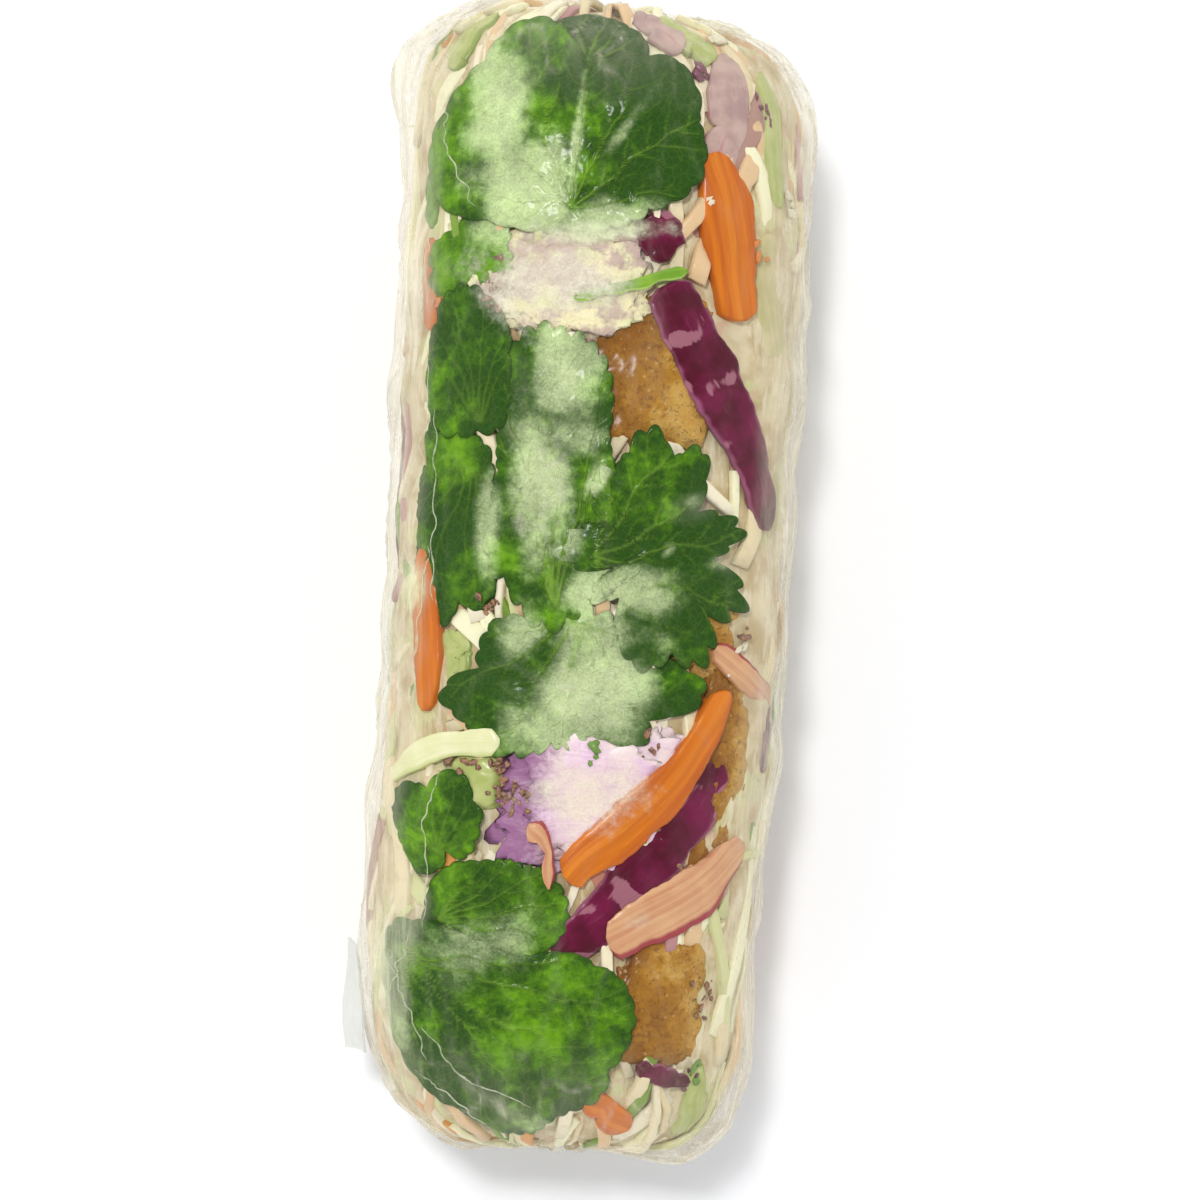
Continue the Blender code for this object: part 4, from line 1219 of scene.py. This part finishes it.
# %% Corners, frost and veils
POLE_ROWS = 6
CORNERS = [
    # part of a turn, part of the length, half sizes in mm, how far it stands out
    (-0.215, 0.72, 6.0, 3.8, 2.6),
    (0.22, 0.68, 6.0, 4.0, 0.8),
    (0.22, -0.80, 6.0, 6.0, 2.0),
    (-0.22, -0.80, 6.0, 6.0, -0.8),
    (-0.23, -0.48, 7.0, 5.0, -0.8),
]
# Frost patches on the paper: partly milky paper, partly painted sheen along the lamp's highlight.
FROST_SHEEN = [
    # over which piece, part around, part along, half sizes, tilt, strength
    ("leaf_top", 0.62, -0.01, 8.0, 1.4, 6, 0.8),
    ("cabbage_pale_band", 0.45, 0.50, 9.5, 5.5, 4, 0.62),
    ("leaf_second_middle", 0.40, 0.36, 5.0, 9.0, 8, 0.30),
    ("leaf_fourth", 0.60, 0.44, 6.0, 5.0, 0, 0.30),
    ("cabbage_pale_folded", 0.45, 0.50, 8.0, 4.5, 20, 0.55),
    ("onion_slice", 0.20, 0.25, 3.0, 1.6, 30, 0.35),
]
VEILS = [
    ("leaf_bottom", 0.10, 0.80, 3.0, 8.0, -16, 0.50),
    ("leaf_bottom", 0.12, 0.55, 1.2, 5.0, 20, 0.40),
    ("leaf_bottom", 0.50, 0.18, 6.0, 0.9, -28, 0.25),
    ("leaf_second_low", 0.10, 0.10, 1.6, 3.5, 0, 0.65),
    ("leaf_third", 0.66, 0.72, 2.4, 1.4, 20, 0.14),
    ("leaf_third", 0.84, 0.46, 2.0, 1.0, 0, 0.14),
    ("carrot_upper_left", 0.40, 0.50, 3.0, 6.0, 0, 0.35),
    ("carrot_middle_left", 0.20, 0.60, 2.5, 8.0, 0, 0.30),
]

# %% Lift the folds and mark the milky places
ragged = film_noise(0.0042, 31.0)
# Frost patches: painted sheen, partly milky paper.
frost_sheen_rows = [patch(film_around, film_along, ragged, *row) for row in FROST_SHEEN]
frost_sheen = np.maximum.reduce(frost_sheen_rows)
veil_rows = [patch(film_around, film_along, ragged, *row) for row in VEILS]
veil = np.maximum.reduce(veil_rows)
over = [row[0] for row in FROST_SHEEN + VEILS]
on_leaf = np.maximum.reduce([patched for node, patched in zip(over, frost_sheen_rows + veil_rows)
                             if node.startswith("leaf")])
ends = np.clip((np.abs(film_along) - STOP * 0.99) / (0.5 * CAP), 0.0, 1.0)
sides = np.clip((np.abs(np.sin(film_around / ROUND)) - 0.78) / 0.18, 0.0, 1.0)
long_creases = ridges(0.0075, 11.0, 0.030, 3.2)
cross_creases = ridges(0.0058, 23.0, 0.045)
broad_folds = film_noise(0.007, 5.0)
fold = np.clip(long_creases * (0.15 + 0.75 * sides) + 0.9 * cross_creases * ends, 0.0, 1.0)
knobs = np.clip(0.25 + 1.5 * film_noise(0.0075, 3.0), -0.3, 1.0) * np.maximum(sides, ends)
height = height + (0.22 * fold + 0.35 * ends * broad_folds + 0.75 * knobs) * MM
for turn_part, along_part, half_around, half_along, out in CORNERS:
    height = height + bump(film_around, film_along, turn_part, along_part, half_around, half_along, out)
# The gathered ends are drawn in a little, and their last rows meet in one point.
pole = np.clip((np.abs(film_along) / LONGEST - 0.84) / 0.12, 0.0, 1.0)
height = np.maximum(height - 0.9 * MM * pole, touch + 0.07 * MM)
for j in range(POLE_ROWS):
    share = j / POLE_ROWS
    height[:, j] = share * height[:, j] + (1.0 - share) * height[:, POLE_ROWS].mean()
    height[:, -1 - j] = share * height[:, -1 - j] + (1.0 - share) * height[:, -1 - POLE_ROWS].mean()

# %% The sheet's mesh
film_bm = bmesh.new()
bmesh.ops.create_uvsphere(film_bm, u_segments=FILM_ROUND, v_segments=FILM_LONG, radius=1.0)
ball = corners(film_bm)
turned = np.arctan2(ball[:, 1], ball[:, 0]) / (2.0 * math.pi)
column = np.round(turned * FILM_ROUND).astype(int) % FILM_ROUND
row = np.round((1.0 - np.arccos(np.clip(ball[:, 2], -1, 1)) / math.pi) * FILM_LONG).astype(int)
start, way = rays(film_ring[column], film_run[row])
film_points = start + way * height[column, row][:, None]
film_points[:, 2] = np.maximum(film_points[:, 2], 0.0)
move_points(film_bm, film_points)
bmesh.ops.recalc_face_normals(film_bm, faces=film_bm.faces)


def film_finish():
    """Clear where it clings, milky where it lifts or folds, and pale and sparkling in frost patches that
    are partly painted sheen.
    """
    f = Finish("rice_paper_film")
    lifted, milk = f.attribute("lifted"), f.attribute("milk")
    frost_sheen_mask, on_leaf = f.attribute("frost_sheen"), f.attribute("on_leaf")
    cloud = f.noise(0.0050, 4.0, 0.6)
    grain = f.noise(0.00030, 2.0, 0.7)
    blotch = f.noise(0.0014, 4.0, 0.7)
    # Frost patches: pale, grainy sparkle that is partly painted sheen and partly milky paper.
    frost_sheen_on = (frost_sheen_mask * 1.15 + (blotch - 0.5) * 0.9).step(0.12, 0.88)
    sheen_rime = frost_sheen_on * (0.38 + cloud * 0.45 + (blotch - 0.5) * 0.5 + (grain - 0.5) * 0.5)
    streak = f.noise(1.0, 4.0, 0.65, f.stretched((620.0, 90.0, 620.0)), 0.5)
    folded = milk * (0.05 + cloud * 0.7 + streak.step(0.40, 0.70) * 0.5)
    haze = lifted.step(0.4, 2.0) * (cloud * 0.24) + folded
    alpha = (haze + sheen_rime + 0.008).most(0.0).least(0.93)
    # Over leaves the paper is tinted green, which colours the painted sheen and the veils there.
    colour = f.mix(on_leaf.least(1.0), (0.92, 0.86, 0.66), (0.86, 0.97, 0.54))
    return f.done(colour, 0.32 + grain * 0.2, cloud * 0.5 + blotch * 0.4 + grain * 0.4, 0.00020,
                  alpha=alpha, IOR=1.45, Specular_IOR_Level=0.3)


film = add_piece(
    "rice_paper_film", film_bm, film_finish(), ("rice_paper",),
    attributes={
        "lifted": gap[column, row] / MM,
        "milk": np.clip(veil + 0.62 * sides + 0.15 * ends + 0.35 * fold, 0.0, 1.0)[column, row],
        "frost_sheen": frost_sheen[column, row],
        "on_leaf": on_leaf[column, row],
    })
print("film:", len(film.data.polygons), "faces")

# %% [markdown]
# ## Creases
#
# Where the wet paper is pinched it stays folded in thin pale threads; their pale colour
# is partly the doubled paper and partly painted glint along the creases. They are too
# fine for the sheet's mesh, so each is a slender bar laid on the sheet: a few long ones
# that cross the leaves, and many short ones at the ends and along the flanks.

# %% Threads of folded paper
def crease_glint_finish():
    """Paler than the sheet and half clear, so that a thread fades in and out; the pale colour is partly
    painted glint.
    """
    f = Finish("crease")
    cloud = f.noise(0.002, 3.0)
    # The pale colour is partly folded paper and partly painted glint.
    colour = f.mix(cloud, (0.62, 0.66, 0.36), (0.82, 0.80, 0.68))
    return f.done(colour, 0.25, alpha=cloud.step(0.25, 0.6) * 0.4 + 0.05, IOR=1.5)


def thread(bm, a, l, half):
    """A bar along places on the sheet, tapering at both ends."""
    made = bmesh.new()
    bar(made, len(a) - 1, 0.5)
    box = corners(made)
    part = np.clip(box[:, 1], 0.0, 1.0)
    spots = np.linspace(0.0, 1.0, len(a))
    da, dl = np.gradient(a), np.gradient(l)
    size = np.maximum(np.hypot(da, dl), 1e-9)
    taper = np.sin(np.pi * np.clip(part, 0.02, 0.98)) ** 0.4 * half
    line_a, line_l = np.interp(part, spots, a), np.interp(part, spots, l)
    line_a = line_a + box[:, 0] * taper * np.interp(part, spots, dl / size)
    line_l = line_l - box[:, 0] * taper * np.interp(part, spots, da / size)
    start, way = rays(line_a, line_l)
    out = look_up_film(line_a, line_l) + (0.03 * MM + box[:, 2] * taper * 0.6)
    points = start + way * out[:, None]
    points[:, 2] = np.maximum(points[:, 2], 0.00003)
    move_points(made, points)
    join_in(bm, made)


def look_up_film(around, along):
    """How far the sheet stands from the line at the nearest of its corners."""
    a = np.round(around / TURN * FILM_ROUND).astype(int) % FILM_ROUND
    b = np.clip(np.round((along + LONGEST) / (2.0 * LONGEST) * FILM_LONG), 0, FILM_LONG).astype(int)
    return height[a, b]


LONG_CREASES = [
    # places that the crease passes, each by a piece and parts of its spread
    (("leaf_second_left", 0.16, 0.15), ("leaf_second_low", 0.30, 0.62), ("leaf_second_low", 0.34, 0.02)),
    (("leaf_second_left", 0.05, 0.60), ("leaf_second_left", 0.04, 0.10), ("leaf_second_low", 0.12, 0.72)),
    (("leaf_lower_left", 0.62, 1.10), ("leaf_lower_left", 0.50, 0.50), ("leaf_bottom", 0.24, 0.98)),
    (("leaf_bottom", 0.20, 0.96), ("leaf_bottom", 0.13, 0.74), ("leaf_bottom", 0.06, 0.52)),
    (("leaf_bottom", 0.10, 0.86), ("leaf_bottom", 0.16, 0.62), ("leaf_bottom", 0.22, 0.38)),
    (("leaf_bottom", 0.22, 0.52), ("leaf_bottom", 0.36, 0.30), ("leaf_bottom", 0.62, 0.20)),
    (("leaf_bottom", 0.16, 0.34), ("leaf_bottom", 0.30, 0.22), ("leaf_bottom", 0.42, 0.06)),
    (("carrot_middle_left", 0.70, 1.02), ("carrot_middle_left", 0.50, 0.40),
     ("carrot_middle_left", 0.60, -0.10)),
    (("carrot_upper_left", 0.80, 1.05), ("carrot_upper_left", 0.60, 0.50),
     ("carrot_upper_left", 0.40, -0.05)),
    (("leaf_top", 0.06, 0.62), ("leaf_top", 0.10, 0.36), ("leaf_top", 0.22, 0.10)),
]


END_CREASES, FLANK_CREASES = 40, 24
THREAD = 0.075 * MM


def add_creases():
    """The long creases, then short random ones, as one mesh."""
    dice = random.Random(5)
    bm = bmesh.new()
    for stops in LONG_CREASES:
        spots = np.array([spot_on(*stop) for stop in stops])
        part = np.linspace(0.0, 1.0, 40)
        a, l = smooth_line(spots[:, 0], part), smooth_line(spots[:, 1], part)
        wiggle = [noise.noise(Vector((x * 9.0, len(stops), stops[0][1] * 50))) * 0.7 * MM for x in part]
        thread(bm, a + np.array(wiggle), l, THREAD)
    for number in range(END_CREASES + FLANK_CREASES):
        at_end = number < END_CREASES
        a = dice.uniform(-math.pi, math.pi) * ROUND
        if at_end:
            l = dice.choice((-1, 1)) * dice.uniform(0.86, 0.97) * LONGEST
        else:
            l = dice.uniform(-0.9, 0.9) * LONGEST
            a = dice.choice((-1, 1)) * dice.uniform(0.42, 0.62) * math.pi * ROUND
        way = dice.gauss(0.0, 1.2 if at_end else 0.5)
        places = [(a, l)]
        for _ in range(dice.randint(9, 22)):
            way += dice.gauss(0.0, 0.22)
            a, l = a + 0.45 * MM * math.sin(way), l + 0.45 * MM * math.cos(way)
            places.append((a, l))
        places = np.array(places)
        inside = np.clip(places[:, 1], -LONGEST + 2.5 * MM, LONGEST - 2.5 * MM)
        thread(bm, places[:, 0], inside, dice.uniform(0.05, 0.10) * MM)
    bmesh.ops.recalc_face_normals(bm, faces=bm.faces)
    return add_piece("paper_creases", bm, crease_glint_finish(), ("rice_paper",))


creases = add_creases()
print("creases:", len(creases.data.polygons), "faces")

# %% [markdown]
# ## Table, light and camera
#
# The roll lies on a plain white table under one soft lamp, a little to the upper
# left, and a bright room. The camera looks straight down with a long lens.

# %% Table
def table_finish():
    f = Finish("table")
    return f.done((0.95, 0.95, 0.95), 0.9, Specular_IOR_Level=0.0)


floor_bm = bmesh.new()
bmesh.ops.create_grid(floor_bm, x_segments=2, y_segments=2, size=3.0)
floor_mesh = bpy.data.meshes.new("table")
floor_bm.to_mesh(floor_mesh)
floor_bm.free()
floor_mesh.materials.append(table_finish())
floor = bpy.data.objects.new("table", floor_mesh)
floor.location.z = -0.0002
bpy.context.scene.collection.objects.link(floor)

# %% Light
# The room is bright towards the horizon and dim overhead, so that the wet paper keeps
# the colours under it instead of mirroring a white ceiling.
ROOM = 1.17
OVERHEAD = 0.10
LAMP_WIDE = 0.15
LAMP_POWER = 5.3
world = bpy.data.worlds.new("room")
bpy.context.scene.world = world
world.use_nodes = True
nodes, links = world.node_tree.nodes, world.node_tree.links
direction = nodes.new("ShaderNodeTexCoord")
parts = nodes.new("ShaderNodeSeparateXYZ")
dim = nodes.new("ShaderNodeMapRange")
dim.interpolation_type = "SMOOTHSTEP"
for socket, value in (("From Min", 0.68), ("From Max", 0.86), ("To Min", ROOM), ("To Max", OVERHEAD)):
    dim.inputs[socket].default_value = value
links.new(direction.outputs["Generated"], parts.inputs["Vector"])
links.new(parts.outputs["Z"], dim.inputs["Value"])
nodes["Background"].inputs["Color"].default_value = (0.98, 1.0, 1.06, 1.0)
links.new(dim.outputs["Result"], nodes["Background"].inputs["Strength"])

lamp_data = bpy.data.lights.new("soft_lamp", "AREA")
lamp_data.shape = "DISK"
lamp_data.size = LAMP_WIDE
lamp_data.energy = LAMP_POWER
lamp = bpy.data.objects.new("soft_lamp", lamp_data)
lamp.location = (-0.17, 0.30, 1.0)
lamp.rotation_euler = (Vector((0, 0, 0)) - lamp.location).to_track_quat("-Z", "Y").to_euler()
bpy.context.scene.collection.objects.link(lamp)

# %% Camera
LENS = 100.0
SHOWN = 1.048 * LENGTH
AIM_X, AIM_Y = 2.7 * MM, -2.6 * MM
LEAN = 2.5
camera_data = bpy.data.cameras.new("camera")
camera_data.lens = LENS
camera_data.sensor_width = 36.0
camera = bpy.data.objects.new("camera", camera_data)
camera.location = (AIM_X, AIM_Y, HEIGHT / 2 + SHOWN * LENS / camera_data.sensor_width)
camera.rotation_euler = (0.0, 0.0, math.radians(LEAN))
bpy.context.scene.collection.objects.link(camera)
bpy.context.scene.camera = camera
bpy.context.scene.view_settings.view_transform = "Standard"

# %% [markdown]
# ## The loose corner
#
# One corner of the sheet sticks out, low on the left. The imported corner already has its
# true shape, so it keeps its mesh and only gets the milky look of wet paper.

# %% Loose corner of the paper
def tab_finish():
    """The loose corner lies over nothing, so it shows the milky tone of the paper itself."""
    f = Finish("paper_corner")
    cloud = f.noise(0.006, 3.0)
    colour = f.mix(cloud, (0.72, 0.72, 0.64), (0.84, 0.84, 0.76))
    return f.done(colour, 0.30, cloud, 0.0002, alpha=cloud * 0.3 + 0.55)


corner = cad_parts["paper_tab"].data
corner.materials.clear()
corner.materials.append(tab_finish())
